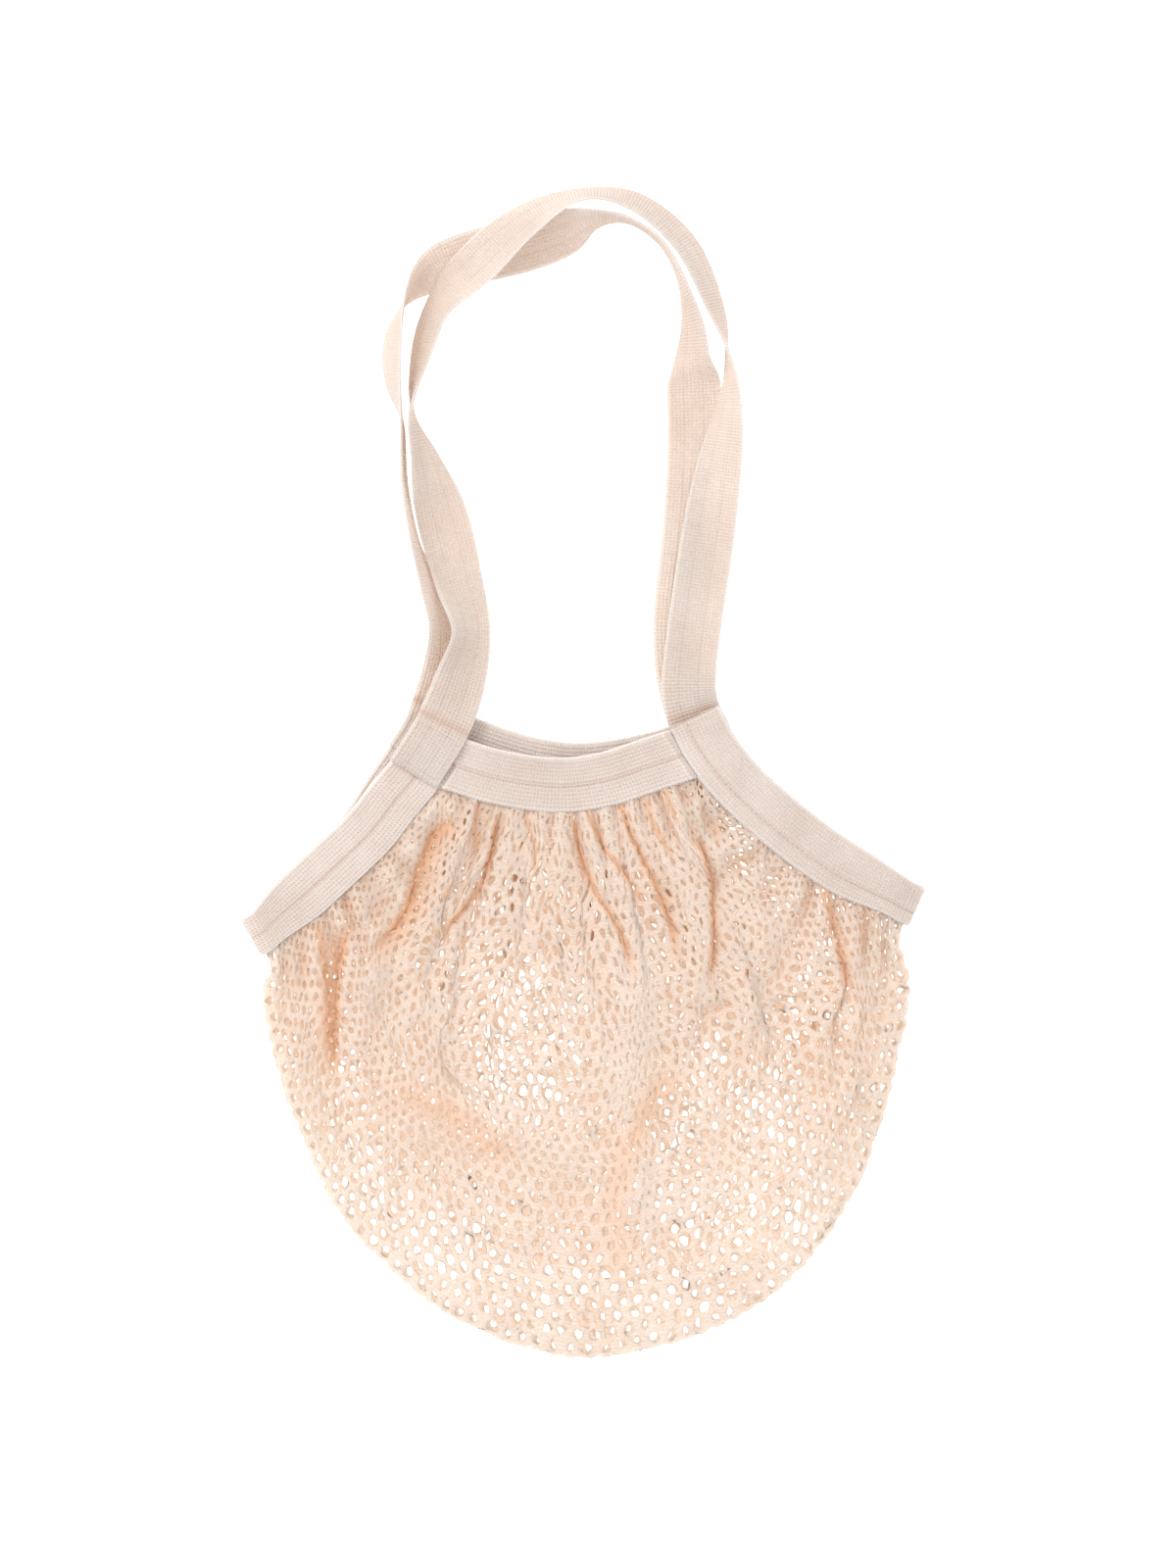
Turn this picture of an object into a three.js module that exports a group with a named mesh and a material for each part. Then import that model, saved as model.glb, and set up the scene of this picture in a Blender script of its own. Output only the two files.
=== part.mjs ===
// A cotton net bag with two tape handles, lying flat on a table with its handles towards +Y.
// Sizes are millimetres, +Z is up, and the origin is on the table under the middle of the bag.
import * as THREE from "three";

// Tape and net
const TAPE_WIDTH = 28;
const STRAP_THICKNESS = 1.8;
const LEAF_THICKNESS = 1.2;
const NET_WALL = 1.8;
const FIT_GAP = 0.3;
// How far the net reaches into a folded tape
const SEAM_DEPTH = 11;
// Clear height between the front and back bindings
const MOUTH_GAP = 6.5;

// A binding is one tape folded in two, with the net edge in the slot between its leaves
const SLOT = NET_WALL + 2 * FIT_GAP;
const BINDING_THICKNESS = SLOT + 2 * LEAF_THICKNESS;
const BACK_LEVEL = BINDING_THICKNESS / 2;
const FRONT_LEVEL = BACK_LEVEL + BINDING_THICKNESS + MOUTH_GAP;
// The net turns from front to back round a half circle at the outline
const FOLD_RADIUS = (FRONT_LEVEL - BACK_LEVEL) / 2;
const FOLD_HEIGHT = (FRONT_LEVEL + BACK_LEVEL) / 2;
const FOLD_REACH = FOLD_RADIUS + NET_WALL / 2;
const FOLD_ANGLES = [30, 60, 90, 120, 150];
// The net edge runs this far inside the middle line of its tape
const NET_EDGE_OFFSET = TAPE_WIDTH / 2 - SEAM_DEPTH;

// Loft of the front net over the bindings, and the distances from a binding over which it rises
const LOFT = 6;
const RELIEF_START = SEAM_DEPTH + 5;
const RELIEF_END = SEAM_DEPTH + 32;

// Grid steps
const NET_COLUMNS = 34;
const FRONT_ROWS = 20;
const BACK_ROWS = 12;
// Rows lie closer together at the top, where the net enters its binding
const ROW_SPREAD = 1.2;
// Columns lie closer together beside the side bindings
const COLUMN_CROWDING = 0.6;
const STRAP_STEPS_PER_ROW = 3;
const SIDE_STEPS = 12;
const TOP_STEPS = 16;

// Middle line of each top binding, left to right
const FRONT_TOP = [
  { x: -64.6, y: 4.1 },
  { x: -46, y: -1.6 },
  { x: -26, y: -5.2 },
  { x: -8, y: -6.2 },
  { x: 12, y: -3.2 },
  { x: 32, y: 3.2 },
  { x: 49.6, y: 9.1 },
];
const BACK_TOP = [
  { x: -62.5, y: 16.4 },
  { x: -44, y: 9.6 },
  { x: -26, y: 4.6 },
  { x: -6, y: 1.8 },
  { x: 14, y: 3 },
  { x: 32, y: 6.4 },
  { x: 49.4, y: 10.7 },
];
// Slant of the ends of a top binding, so that they follow the side bindings
const TOP_END_SLANT = { left: -0.2, right: 0.26 };

// Middle line of each side binding, from its upper end to the start of its turn at the side point,
// for the front run (x, y) and the back run (backX, backY)
const LEFT_SIDE = [
  { x: -77, y: 11.5, backX: -76, backY: 25 },
  { x: -87.5, y: -3, backX: -87.5, backY: 6 },
  { x: -96.7, y: -14, backX: -98.5, backY: -10 },
  { x: -108.7, y: -29.5, backX: -110, backY: -28 },
  { x: -126.8, y: -47, backX: -126.8, backY: -47 },
  { x: -146, y: -65.3, backX: -146, backY: -65.3 },
  { x: -161.3, y: -83, backX: -161.3, backY: -83 },
];
const RIGHT_SIDE = [
  { x: 56.8, y: 28.6, backX: 57.3, backY: 28.9 },
  { x: 63, y: 16, backX: 63.4, backY: 16.3 },
  { x: 74.4, y: 0.2, backX: 74.7, backY: 0.4 },
  { x: 91.2, y: -16.6, backX: 91.2, backY: -16.6 },
  { x: 118.6, y: -38.8, backX: 118.6, backY: -38.8 },
  { x: 143.2, y: -55, backX: 143.2, backY: -55 },
  { x: 162.7, y: -68, backX: 162.7, backY: -68 },
];
// Over the last share of its run a side binding narrows on its net side and slants to the outline
const POINT_FROM = 0.75;
const POINT_NARROWING = 6;
const POINT_SLANT = { left: 0.35, right: 0.17 };

// Outline of the lying net under the side points, one row for each height
const OUTLINE = [
  { y: -108, left: -163.5, right: 168 },
  { y: -141, left: -160.5, right: 163 },
  { y: -176, left: -148, right: 155 },
  { y: -211, left: -134.5, right: 141 },
  { y: -243, left: -110, right: 122.5 },
  { y: -272, left: -78, right: 92 },
  { y: -291, left: -41, right: 51 },
];
const OUTLINE_BOTTOM = { x: 3, y: -300.2 };

// Main folds of the front net: ridges stand up, valleys have a height under zero
const FOLDS = [
  { x0: -72, y0: -26, x1: -92, y1: -70, halfWidth: 8, height: -5.5 },
  { x0: -112, y0: -84, x1: -129, y1: -126, halfWidth: 8, height: -5.5 },
  { x0: -58, y0: -24, x1: -104, y1: -100, halfWidth: 11, height: 4.5 },
  { x0: -146, y0: -100, x1: -143, y1: -150, halfWidth: 9, height: 3 },
  { x0: 6, y0: -26, x1: 24, y1: -150, halfWidth: 11, height: 4 },
  { x0: 24, y0: -150, x1: 20, y1: -250, halfWidth: 10, height: 3.5 },
  { x0: 44, y0: -20, x1: 64, y1: -100, halfWidth: 11, height: 5 },
  { x0: 72, y0: -48, x1: 78, y1: -112, halfWidth: 8, height: -5.5 },
  { x0: 92, y0: -46, x1: 70, y1: -160, halfWidth: 10, height: 3 },
  { x0: 124, y0: -62, x1: 116, y1: -130, halfWidth: 9, height: -5 },
  { x0: 142, y0: -80, x1: 136, y1: -160, halfWidth: 9, height: 3.5 },
  { x0: -104, y0: -146, x1: -10, y1: -190, halfWidth: 13, height: 3.5 },
];

// Handles from the left corner over the top to the right corner. Tilt is the turn about the run of the
// tape: 0 lies flat, 90 stands on edge, more shows its other face. Lift is the height of its lowest edge.
const ON_FRONT = FRONT_LEVEL + BINDING_THICKNESS / 2 + FIT_GAP;
const UNDER_FRONT = FRONT_LEVEL - BINDING_THICKNESS / 2 - FIT_GAP - STRAP_THICKNESS;
const ON_BACK = BACK_LEVEL + BINDING_THICKNESS / 2 + FIT_GAP;
const FRONT_STRAP = [
  { x: -86.5, y: -0.8, tilt: 0, lift: ON_FRONT },
  { x: -71.6, y: 23.5, tilt: 0, lift: ON_FRONT },
  { x: -62.8, y: 46, tilt: 22, lift: 9 },
  { x: -56.8, y: 71.8, tilt: 46, lift: 3 },
  { x: -63.6, y: 99.3, tilt: 28, lift: 2 },
  { x: -71.3, y: 129.3, tilt: 20, lift: 0.3 },
  { x: -79.8, y: 158.8, tilt: 57, lift: 0.3 },
  { x: -87, y: 184.3, tilt: 88, lift: 0.3 },
  { x: -82.3, y: 213.3, tilt: 113, lift: 1.2 },
  { x: -73.2, y: 237.4, tilt: 122, lift: 8.5 },
  { x: -53.8, y: 259.3, tilt: 146, lift: 13 },
  { x: -29.3, y: 281.3, tilt: 131, lift: 9 },
  { x: -0.3, y: 295, tilt: 106, lift: 1.5 },
  { x: 27.8, y: 290.8, tilt: 114, lift: 0.5 },
  { x: 52.8, y: 269.3, tilt: 118, lift: 0.3 },
  { x: 67.6, y: 237.3, tilt: 110, lift: 1 },
  { x: 74, y: 213, tilt: 88, lift: 5 },
  { x: 74.8, y: 188.3, tilt: 65, lift: 10 },
  { x: 68.8, y: 151.8, tilt: 32, lift: 5 },
  { x: 61.8, y: 106.8, tilt: 12, lift: 4 },
  { x: 55.8, y: 64.3, tilt: 14, lift: 6 },
  { x: 54.2, y: 42, tilt: 4, lift: 8.2 },
  { x: 57.6, y: 27, tilt: 0, lift: UNDER_FRONT - 0.2 },
  { x: 65, y: 13, tilt: 0, lift: UNDER_FRONT },
];
const BACK_STRAP = [
  { x: -87, y: 7, tilt: 0, lift: ON_BACK },
  { x: -77, y: 23.5, tilt: 0, lift: ON_BACK },
  { x: -71, y: 46, tilt: 28, lift: 1 },
  { x: -69.3, y: 71.8, tilt: 50, lift: 0.5 },
  { x: -77, y: 94.3, tilt: 67, lift: 0.3 },
  { x: -85.3, y: 116.8, tilt: 82, lift: 0.3 },
  { x: -90.8, y: 146.8, tilt: 86, lift: 0.3 },
  { x: -92.3, y: 179.3, tilt: 90, lift: 0.3 },
  { x: -96.6, y: 198.3, tilt: 106, lift: 0.3 },
  { x: -97, y: 219.3, tilt: 110, lift: 0.3 },
  { x: -90.8, y: 239.3, tilt: 90, lift: 0.3 },
  { x: -75.4, y: 255.6, tilt: 40, lift: 0.3 },
  { x: -56.3, y: 263.3, tilt: 13, lift: 0.3 },
  { x: -30.8, y: 269.5, tilt: 12, lift: 0.3 },
  { x: -9.4, y: 276, tilt: 33, lift: 0.3 },
  { x: 6.3, y: 282.3, tilt: 72, lift: 0.3 },
  { x: 22.8, y: 281.8, tilt: 88, lift: 0.3 },
  { x: 40, y: 270.4, tilt: 88, lift: 0.3 },
  { x: 50.6, y: 250.5, tilt: 84, lift: 0.3 },
  { x: 56, y: 228, tilt: 66, lift: 0.3 },
  { x: 56, y: 209.5, tilt: 46, lift: 0.3 },
  { x: 57, y: 194, tilt: 6, lift: 0.3 },
  { x: 57.3, y: 164, tilt: 4, lift: 0.3 },
  { x: 54.8, y: 124.3, tilt: 4, lift: 0.3 },
  { x: 49.8, y: 74.3, tilt: 4, lift: 0.3 },
  { x: 53.5, y: 40, tilt: 0, lift: ON_BACK },
  { x: 63.5, y: 16, tilt: 0, lift: ON_BACK },
];

// Plain helpers

function curveThrough(points) {
  return new THREE.CatmullRomCurve3(points, false, "centripetal");
}

function flatCurve(rows) {
  return curveThrough(rows.map((row) => new THREE.Vector3(row.x, row.y, 0)));
}

// Level direction at right angles to a run, on its left
function leftOf(tangent) {
  return new THREE.Vector3(-tangent.y, tangent.x, 0).normalize();
}

function smooth(value, from, to) {
  return THREE.MathUtils.smoothstep(value, from, to);
}

function distanceToSegment(x, y, fold) {
  const runX = fold.x1 - fold.x0;
  const runY = fold.y1 - fold.y0;
  const along = ((x - fold.x0) * runX + (y - fold.y0) * runY) / (runX * runX + runY * runY);
  const part = THREE.MathUtils.clamp(along, 0, 1);
  return Math.hypot(x - fold.x0 - part * runX, y - fold.y0 - part * runY);
}

// A closed body through rings of points. Each ring runs the same way round, and capTriangles index a ring.
function loft(rings, capTriangles) {
  const ringSize = rings[0].length;
  const index = [];
  for (let ring = 0; ring < rings.length - 1; ring += 1) {
    for (let corner = 0; corner < ringSize; corner += 1) {
      const next = (corner + 1) % ringSize;
      const here = ring * ringSize;
      const there = here + ringSize;
      index.push(here + corner, here + next, there + next);
      index.push(here + corner, there + next, there + corner);
    }
  }
  const last = (rings.length - 1) * ringSize;
  for (const [first, second, third] of capTriangles) {
    index.push(first, third, second);
    index.push(last + first, last + second, last + third);
  }
  return geometryOf(rings.flat(), index);
}

function geometryOf(points, index) {
  const geometry = new THREE.BufferGeometry().setFromPoints(points);
  geometry.setIndex(index);
  geometry.computeVertexNormals();
  return geometry;
}

// Straps: a rectangle carried along the handle

function strapGeometry(rows) {
  const path = new THREE.CatmullRomCurve3(
    rows.map((row) => new THREE.Vector3(row.x, row.y, row.lift)),
    false,
    "catmullrom",
  );
  const turn = new THREE.CatmullRomCurve3(
    rows.map((row) => new THREE.Vector3(row.tilt, 0, 0)),
    false,
    "catmullrom",
  );
  const steps = (rows.length - 1) * STRAP_STEPS_PER_ROW;
  const rings = [];
  for (let step = 0; step <= steps; step += 1) {
    const share = step / steps;
    const tilt = THREE.MathUtils.degToRad(turn.getPoint(share).x);
    const run = path.getTangent(share).setZ(0).normalize();
    const across = leftOf(run).multiplyScalar(Math.cos(tilt));
    across.z = Math.sin(tilt);
    const through = new THREE.Vector3().crossVectors(run, across);
    const middle = path.getPoint(share);
    const rise = TAPE_WIDTH * Math.abs(Math.sin(tilt)) + STRAP_THICKNESS * Math.abs(Math.cos(tilt));
    middle.z += rise / 2;
    rings.push(
      [[1, 1], [-1, 1], [-1, -1], [1, -1]].map(([wide, thick]) =>
        middle
          .clone()
          .addScaledVector(across, (wide * TAPE_WIDTH) / 2)
          .addScaledVector(through, (thick * STRAP_THICKNESS) / 2),
      ),
    );
  }
  return loft(rings, [[0, 1, 2], [0, 2, 3]]);
}

// Bindings: a folded tape, a U with its open side towards the net

// Corners of the section: distance from the middle line towards the net, and height over the slot middle
const NET_SIDE = TAPE_WIDTH / 2;
const SLOT_END = LEAF_THICKNESS - TAPE_WIDTH / 2;
function foldedSection(netSide) {
  return [
    { inward: netSide, up: -BINDING_THICKNESS / 2 },
    { inward: -NET_SIDE, up: -BINDING_THICKNESS / 2 },
    { inward: -NET_SIDE, up: BINDING_THICKNESS / 2 },
    { inward: netSide, up: BINDING_THICKNESS / 2 },
    { inward: netSide, up: SLOT / 2 },
    { inward: SLOT_END, up: SLOT / 2 },
    { inward: SLOT_END, up: -SLOT / 2 },
    { inward: netSide, up: -SLOT / 2 },
  ];
}
const FOLDED_CAP = [[0, 1, 6], [0, 6, 7], [1, 2, 5], [1, 5, 6], [2, 3, 4], [2, 4, 5]];

function foldedRing(middle, inward, upward, netSide) {
  return foldedSection(netSide).map((corner) =>
    middle.clone().addScaledVector(inward, corner.inward).addScaledVector(upward, corner.up),
  );
}

function topBindingGeometry(rows, level) {
  const line = flatCurve(rows);
  const up = new THREE.Vector3(0, 0, 1);
  const rings = [];
  for (let step = 0; step <= TOP_STEPS; step += 1) {
    const share = step / TOP_STEPS;
    const run = line.getTangentAt(share);
    const slant = THREE.MathUtils.lerp(TOP_END_SLANT.left, TOP_END_SLANT.right, share);
    const inward = leftOf(run).negate().addScaledVector(run, slant);
    rings.push(foldedRing(line.getPointAt(share).setZ(level), inward, up, NET_SIDE));
  }
  return loft(rings, FOLDED_CAP);
}

// Hand is 1 where the net is on the left of the run down to the point
function sideOf(rows, hand, slant) {
  return {
    front: flatCurve(rows),
    back: flatCurve(rows.map((row) => ({ x: row.backX, y: row.backY }))),
    hand,
    slant,
  };
}

const SIDES = {
  left: sideOf(LEFT_SIDE, 1, POINT_SLANT.left),
  right: sideOf(RIGHT_SIDE, -1, POINT_SLANT.right),
};

// Level direction from a side binding into the net
function sideInward(side, line, share) {
  const run = line.getTangentAt(share);
  const slant = side.slant * smooth(share, POINT_FROM, 1);
  return leftOf(run).multiplyScalar(side.hand).addScaledVector(run, slant).normalize();
}

// Where a side binding turns from front to back: its end, its outward and its inward direction
function sideTurn(side) {
  const inward = sideInward(side, side.front, 1);
  const out = leftOf(inward).multiplyScalar(-side.hand);
  return { out, inward, end: side.front.getPointAt(1) };
}

function sideNetEdge(share) {
  return NET_SIDE - POINT_NARROWING * smooth(share, POINT_FROM, 1);
}

function sideBindingGeometry(side) {
  const rings = [];
  const up = new THREE.Vector3(0, 0, 1);
  const down = new THREE.Vector3(0, 0, -1);
  for (let step = 0; step < SIDE_STEPS; step += 1) {
    const share = step / SIDE_STEPS;
    const middle = side.front.getPointAt(share).setZ(FRONT_LEVEL);
    rings.push(foldedRing(middle, sideInward(side, side.front, share), up, sideNetEdge(share)));
  }
  const turn = sideTurn(side);
  for (const angle of [0, ...FOLD_ANGLES, 180]) {
    const radians = THREE.MathUtils.degToRad(angle);
    const away = turn.out.clone().multiplyScalar(Math.sin(radians));
    away.z = Math.cos(radians);
    const middle = turn.end.clone().setZ(FOLD_HEIGHT).addScaledVector(away, FOLD_RADIUS);
    rings.push(foldedRing(middle, turn.inward, away, sideNetEdge(1)));
  }
  for (let step = SIDE_STEPS - 1; step >= 0; step -= 1) {
    const share = step / SIDE_STEPS;
    const middle = side.back.getPointAt(share).setZ(BACK_LEVEL);
    rings.push(foldedRing(middle, sideInward(side, side.back, share), down, sideNetEdge(share)));
  }
  if (side.hand > 0) {
    rings.reverse();
  }
  return loft(rings, FOLDED_CAP);
}

// Net: a sheet between the top edge, the two side edges and the fold at the outline

// Points of an edge moved into the net from the middle line of its tape
function movedLine(line, inwardAt) {
  const points = [];
  for (let step = 0; step <= SIDE_STEPS; step += 1) {
    const share = step / SIDE_STEPS;
    points.push(line.getPointAt(share).addScaledVector(inwardAt(share), NET_EDGE_OFFSET));
  }
  return points;
}

// The corners of the net sit in the side slots, this share of the way down each side binding
const CORNER_SHARE = {
  front: { left: 0.08, right: 0.2 },
  back: { left: 0.12, right: 0.2 },
};

function sideEdge(side, line, cornerShare) {
  const points = movedLine(line, (share) => sideInward(side, line, share));
  const whole = curveThrough(points);
  const kept = [];
  for (let step = 0; step <= SIDE_STEPS; step += 1) {
    kept.push(whole.getPointAt(THREE.MathUtils.lerp(cornerShare, 1, step / SIDE_STEPS)));
  }
  return curveThrough(kept);
}

function topEdge(rows, leftEdge, rightEdge) {
  const line = flatCurve(rows);
  const points = movedLine(line, (share) => leftOf(line.getTangentAt(share)).negate());
  return curveThrough([leftEdge.getPoint(0), ...points.slice(1, -1), rightEdge.getPoint(0)]);
}

// The line where the front net starts to turn: the outline moved in by the reach of the fold
function foldLine() {
  const outline = curveThrough(
    [
      ...OUTLINE.map((row) => ({ x: row.left, y: row.y })),
      OUTLINE_BOTTOM,
      ...OUTLINE.map((row) => ({ x: row.right, y: row.y })).reverse(),
    ].map((point) => new THREE.Vector3(point.x, point.y, 0)),
  );
  const inset = [];
  const samples = 2 * OUTLINE.length;
  for (let step = 0; step <= samples; step += 1) {
    const share = step / samples;
    const inward = leftOf(outline.getTangentAt(share));
    inset.push(outline.getPointAt(share).addScaledVector(inward, FOLD_REACH));
  }
  // Beside each tape the fold runs straight on from the end of the tape
  const fromTape = (side) => {
    const turn = sideTurn(side);
    return [0, 0.6, 1.2].map((share) =>
      turn.end.clone().addScaledVector(turn.inward, NET_EDGE_OFFSET + share * SEAM_DEPTH),
    );
  };
  return curveThrough([...fromTape(SIDES.left), ...inset, ...fromTape(SIDES.right).reverse()]);
}

const FOLD_LINE = foldLine();

function panelOf(topRows, run) {
  const left = sideEdge(SIDES.left, SIDES.left[run], CORNER_SHARE[run].left);
  const right = sideEdge(SIDES.right, SIDES.right[run], CORNER_SHARE[run].right);
  const top = topEdge(topRows, left, right);
  const boundPoints = [top, left, right].flatMap((edge) => edge.getSpacedPoints(40));
  return { top, left, right, boundPoints };
}

// A point of the panel in plan: its four edges blended across and down
function panelPoint(panel, across, down) {
  const top = panel.top.getPointAt(across);
  const fold = FOLD_LINE.getPointAt(across);
  const left = panel.left.getPointAt(down);
  const right = panel.right.getPointAt(down);
  const corners = panel.top.getPointAt(0).multiplyScalar((1 - across) * (1 - down));
  corners.addScaledVector(panel.top.getPointAt(1), across * (1 - down));
  corners.addScaledVector(FOLD_LINE.getPointAt(0), (1 - across) * down);
  corners.addScaledVector(FOLD_LINE.getPointAt(1), across * down);
  return new THREE.Vector3()
    .addScaledVector(top, 1 - down)
    .addScaledVector(fold, down)
    .addScaledVector(left, 1 - across)
    .addScaledVector(right, across)
    .sub(corners);
}

// 0 inside a tape, 1 well away from it
function reliefAt(panel, point) {
  let nearest = Infinity;
  for (const edge of panel.boundPoints) {
    nearest = Math.min(nearest, Math.hypot(point.x - edge.x, point.y - edge.y));
  }
  return smooth(nearest, RELIEF_START, RELIEF_END);
}

function frontHeight(panel, point, down) {
  let folds = 0;
  for (const fold of FOLDS) {
    const distance = distanceToSegment(point.x, point.y, fold);
    folds += fold.height * Math.exp(-((distance / fold.halfWidth) ** 2));
  }
  const bulge = LOFT * Math.sin(Math.PI * Math.min(1, down)) ** 0.7;
  const edgeFade = smooth(1 - down, 0, 0.14);
  return FRONT_LEVEL + reliefAt(panel, point) * (bulge + folds * edgeFade);
}

// The back net lies on the table away from its bindings and its fold
function backHeight(panel, point, down) {
  const lying = Math.min(1, reliefAt(panel, point) * 1.2) * smooth(1 - down, 0, 0.12);
  return THREE.MathUtils.lerp(BACK_LEVEL, NET_WALL / 2, lying);
}

function netRows() {
  const frontPanel = panelOf(FRONT_TOP, "front");
  const backPanel = panelOf(BACK_TOP, "back");
  const shares = [];
  for (let column = 0; column <= NET_COLUMNS; column += 1) {
    const even = column / NET_COLUMNS;
    shares.push(even - (COLUMN_CROWDING * Math.sin(2 * Math.PI * even)) / (2 * Math.PI));
  }
  const rows = [];
  for (let row = 0; row <= FRONT_ROWS; row += 1) {
    const down = (row / FRONT_ROWS) ** ROW_SPREAD;
    rows.push(
      shares.map((across) => {
        const point = panelPoint(frontPanel, across, down);
        return point.setZ(frontHeight(frontPanel, point, down));
      }),
    );
  }
  for (const angle of FOLD_ANGLES) {
    const radians = THREE.MathUtils.degToRad(angle);
    rows.push(
      shares.map((across) => {
        const outward = leftOf(FOLD_LINE.getTangentAt(across)).negate();
        const point = FOLD_LINE.getPointAt(across);
        point.addScaledVector(outward, FOLD_RADIUS * Math.sin(radians));
        return point.setZ(FOLD_HEIGHT + FOLD_RADIUS * Math.cos(radians));
      }),
    );
  }
  for (let row = BACK_ROWS; row >= 0; row -= 1) {
    const down = (row / BACK_ROWS) ** ROW_SPREAD;
    rows.push(
      shares.map((across) => {
        const point = panelPoint(backPanel, across, down);
        return point.setZ(backHeight(backPanel, point, down));
      }),
    );
  }
  return rows;
}

function netGeometry() {
  const rows = netRows();
  const lastRow = rows.length - 1;
  const lastColumn = NET_COLUMNS;
  const width = lastColumn + 1;
  const outer = [];
  const inner = [];
  for (let row = 0; row <= lastRow; row += 1) {
    for (let column = 0; column <= lastColumn; column += 1) {
      const alongRow = rows[row][Math.min(column + 1, lastColumn)]
        .clone()
        .sub(rows[row][Math.max(column - 1, 0)]);
      const downSheet = rows[Math.min(row + 1, lastRow)][column]
        .clone()
        .sub(rows[Math.max(row - 1, 0)][column]);
      const normal = new THREE.Vector3().crossVectors(downSheet, alongRow).normalize();
      outer.push(rows[row][column].clone().addScaledVector(normal, NET_WALL / 2));
      inner.push(rows[row][column].clone().addScaledVector(normal, -NET_WALL / 2));
    }
  }
  const inside = outer.length;
  const index = [];
  for (let row = 0; row < lastRow; row += 1) {
    for (let column = 0; column < lastColumn; column += 1) {
      const here = row * width + column;
      const below = here + width;
      index.push(here, below, below + 1, here, below + 1, here + 1);
      index.push(inside + here, inside + below + 1, inside + below);
      index.push(inside + here, inside + here + 1, inside + below + 1);
    }
  }
  // The rim of the sheet, walked round with the outer face on the left
  const rim = [];
  for (let row = 0; row < lastRow; row += 1) {
    rim.push(row * width);
  }
  for (let column = 0; column < lastColumn; column += 1) {
    rim.push(lastRow * width + column);
  }
  for (let row = lastRow; row > 0; row -= 1) {
    rim.push(row * width + lastColumn);
  }
  for (let column = lastColumn; column > 0; column -= 1) {
    rim.push(column);
  }
  rim.forEach((here, order) => {
    const next = rim[(order + 1) % rim.length];
    index.push(here, inside + here, inside + next, here, inside + next, next);
  });
  return geometryOf([...outer, ...inner], index);
}

// The bag

const COLOURS = { net: 0xefd3bf, binding: 0xe2cbbd, strap: 0xe9d6c9 };

function piece(name, geometry, colour) {
  const material = new THREE.MeshStandardMaterial({ color: colour, roughness: 0.95, metalness: 0 });
  const mesh = new THREE.Mesh(geometry, material);
  mesh.name = name;
  return mesh;
}

const bag = new THREE.Group();
bag.name = "mesh_bag";
bag.add(
  piece("net_body", netGeometry(), COLOURS.net),
  piece("front_binding", topBindingGeometry(FRONT_TOP, FRONT_LEVEL), COLOURS.binding),
  piece("back_binding", topBindingGeometry(BACK_TOP, BACK_LEVEL), COLOURS.binding),
  piece("side_binding_left", sideBindingGeometry(SIDES.left), COLOURS.binding),
  piece("side_binding_right", sideBindingGeometry(SIDES.right), COLOURS.binding),
  piece("strap_front", strapGeometry(FRONT_STRAP), COLOURS.strap),
  piece("strap_back", strapGeometry(BACK_STRAP), COLOURS.strap),
);

export default bag;
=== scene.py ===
"""Looks of a cotton net bag with two tape handles, lying on a white table and seen from straight above.

Lengths in this script are millimetres and become metres when a mesh is made.
"""

import math

import bpy
import numpy as np
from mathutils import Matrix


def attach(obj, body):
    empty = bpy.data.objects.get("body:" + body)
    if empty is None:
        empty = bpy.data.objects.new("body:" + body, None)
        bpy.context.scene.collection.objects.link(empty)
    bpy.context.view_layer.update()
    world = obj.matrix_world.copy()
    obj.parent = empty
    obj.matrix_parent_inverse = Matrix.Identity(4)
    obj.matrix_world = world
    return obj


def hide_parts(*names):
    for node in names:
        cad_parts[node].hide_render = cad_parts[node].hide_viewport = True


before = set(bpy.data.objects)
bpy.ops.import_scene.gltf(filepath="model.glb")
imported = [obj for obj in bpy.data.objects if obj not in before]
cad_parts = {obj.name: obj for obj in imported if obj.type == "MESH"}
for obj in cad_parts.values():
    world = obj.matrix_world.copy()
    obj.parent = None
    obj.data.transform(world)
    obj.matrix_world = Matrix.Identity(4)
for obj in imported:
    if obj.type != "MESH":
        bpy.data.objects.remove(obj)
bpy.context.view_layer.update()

MM = 0.001
SEED = 7

# Tape and net, as in the CAD model
TAPE_WIDTH = 28.0
STRAP_THICKNESS = 1.8
LEAF_THICKNESS = 1.2
NET_WALL = 1.8
FIT_GAP = 0.3
SEAM_DEPTH = 11.0
MOUTH_GAP = 6.5
SLOT = NET_WALL + 2 * FIT_GAP
BINDING_THICKNESS = SLOT + 2 * LEAF_THICKNESS
BACK_LEVEL = BINDING_THICKNESS / 2
FRONT_LEVEL = BACK_LEVEL + BINDING_THICKNESS + MOUTH_GAP
FOLD_RADIUS = (FRONT_LEVEL - BACK_LEVEL) / 2
FOLD_HEIGHT = (FRONT_LEVEL + BACK_LEVEL) / 2
FOLD_REACH = FOLD_RADIUS + NET_WALL / 2
NET_EDGE_OFFSET = TAPE_WIDTH / 2 - SEAM_DEPTH

# Middle lines of the top bindings, left to right: x, y
FRONT_TOP = [(-64.6, 4.1), (-46, -1.6), (-26, -5.2), (-8, -6.2), (12, -3.2), (32, 3.2), (49.6, 9.1)]
BACK_TOP = [(-62.5, 16.4), (-44, 9.6), (-26, 4.6), (-6, 1.8), (14, 3), (32, 6.4), (49.4, 10.7)]
# Slant of the left and right ends of the top bindings, and the gap between them and the side bindings
TOP_END_SLANT = (-0.2, 0.26)
END_GAP = 0.15
# How far a top binding reaches under a handle, past the end of the side binding
END_LAP = 7.0
# The mouth of a binding is sewn tight on the net: width of the slot there, and depth of that part
LIP = 1.7
LIP_DEPTH = 2.5

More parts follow.
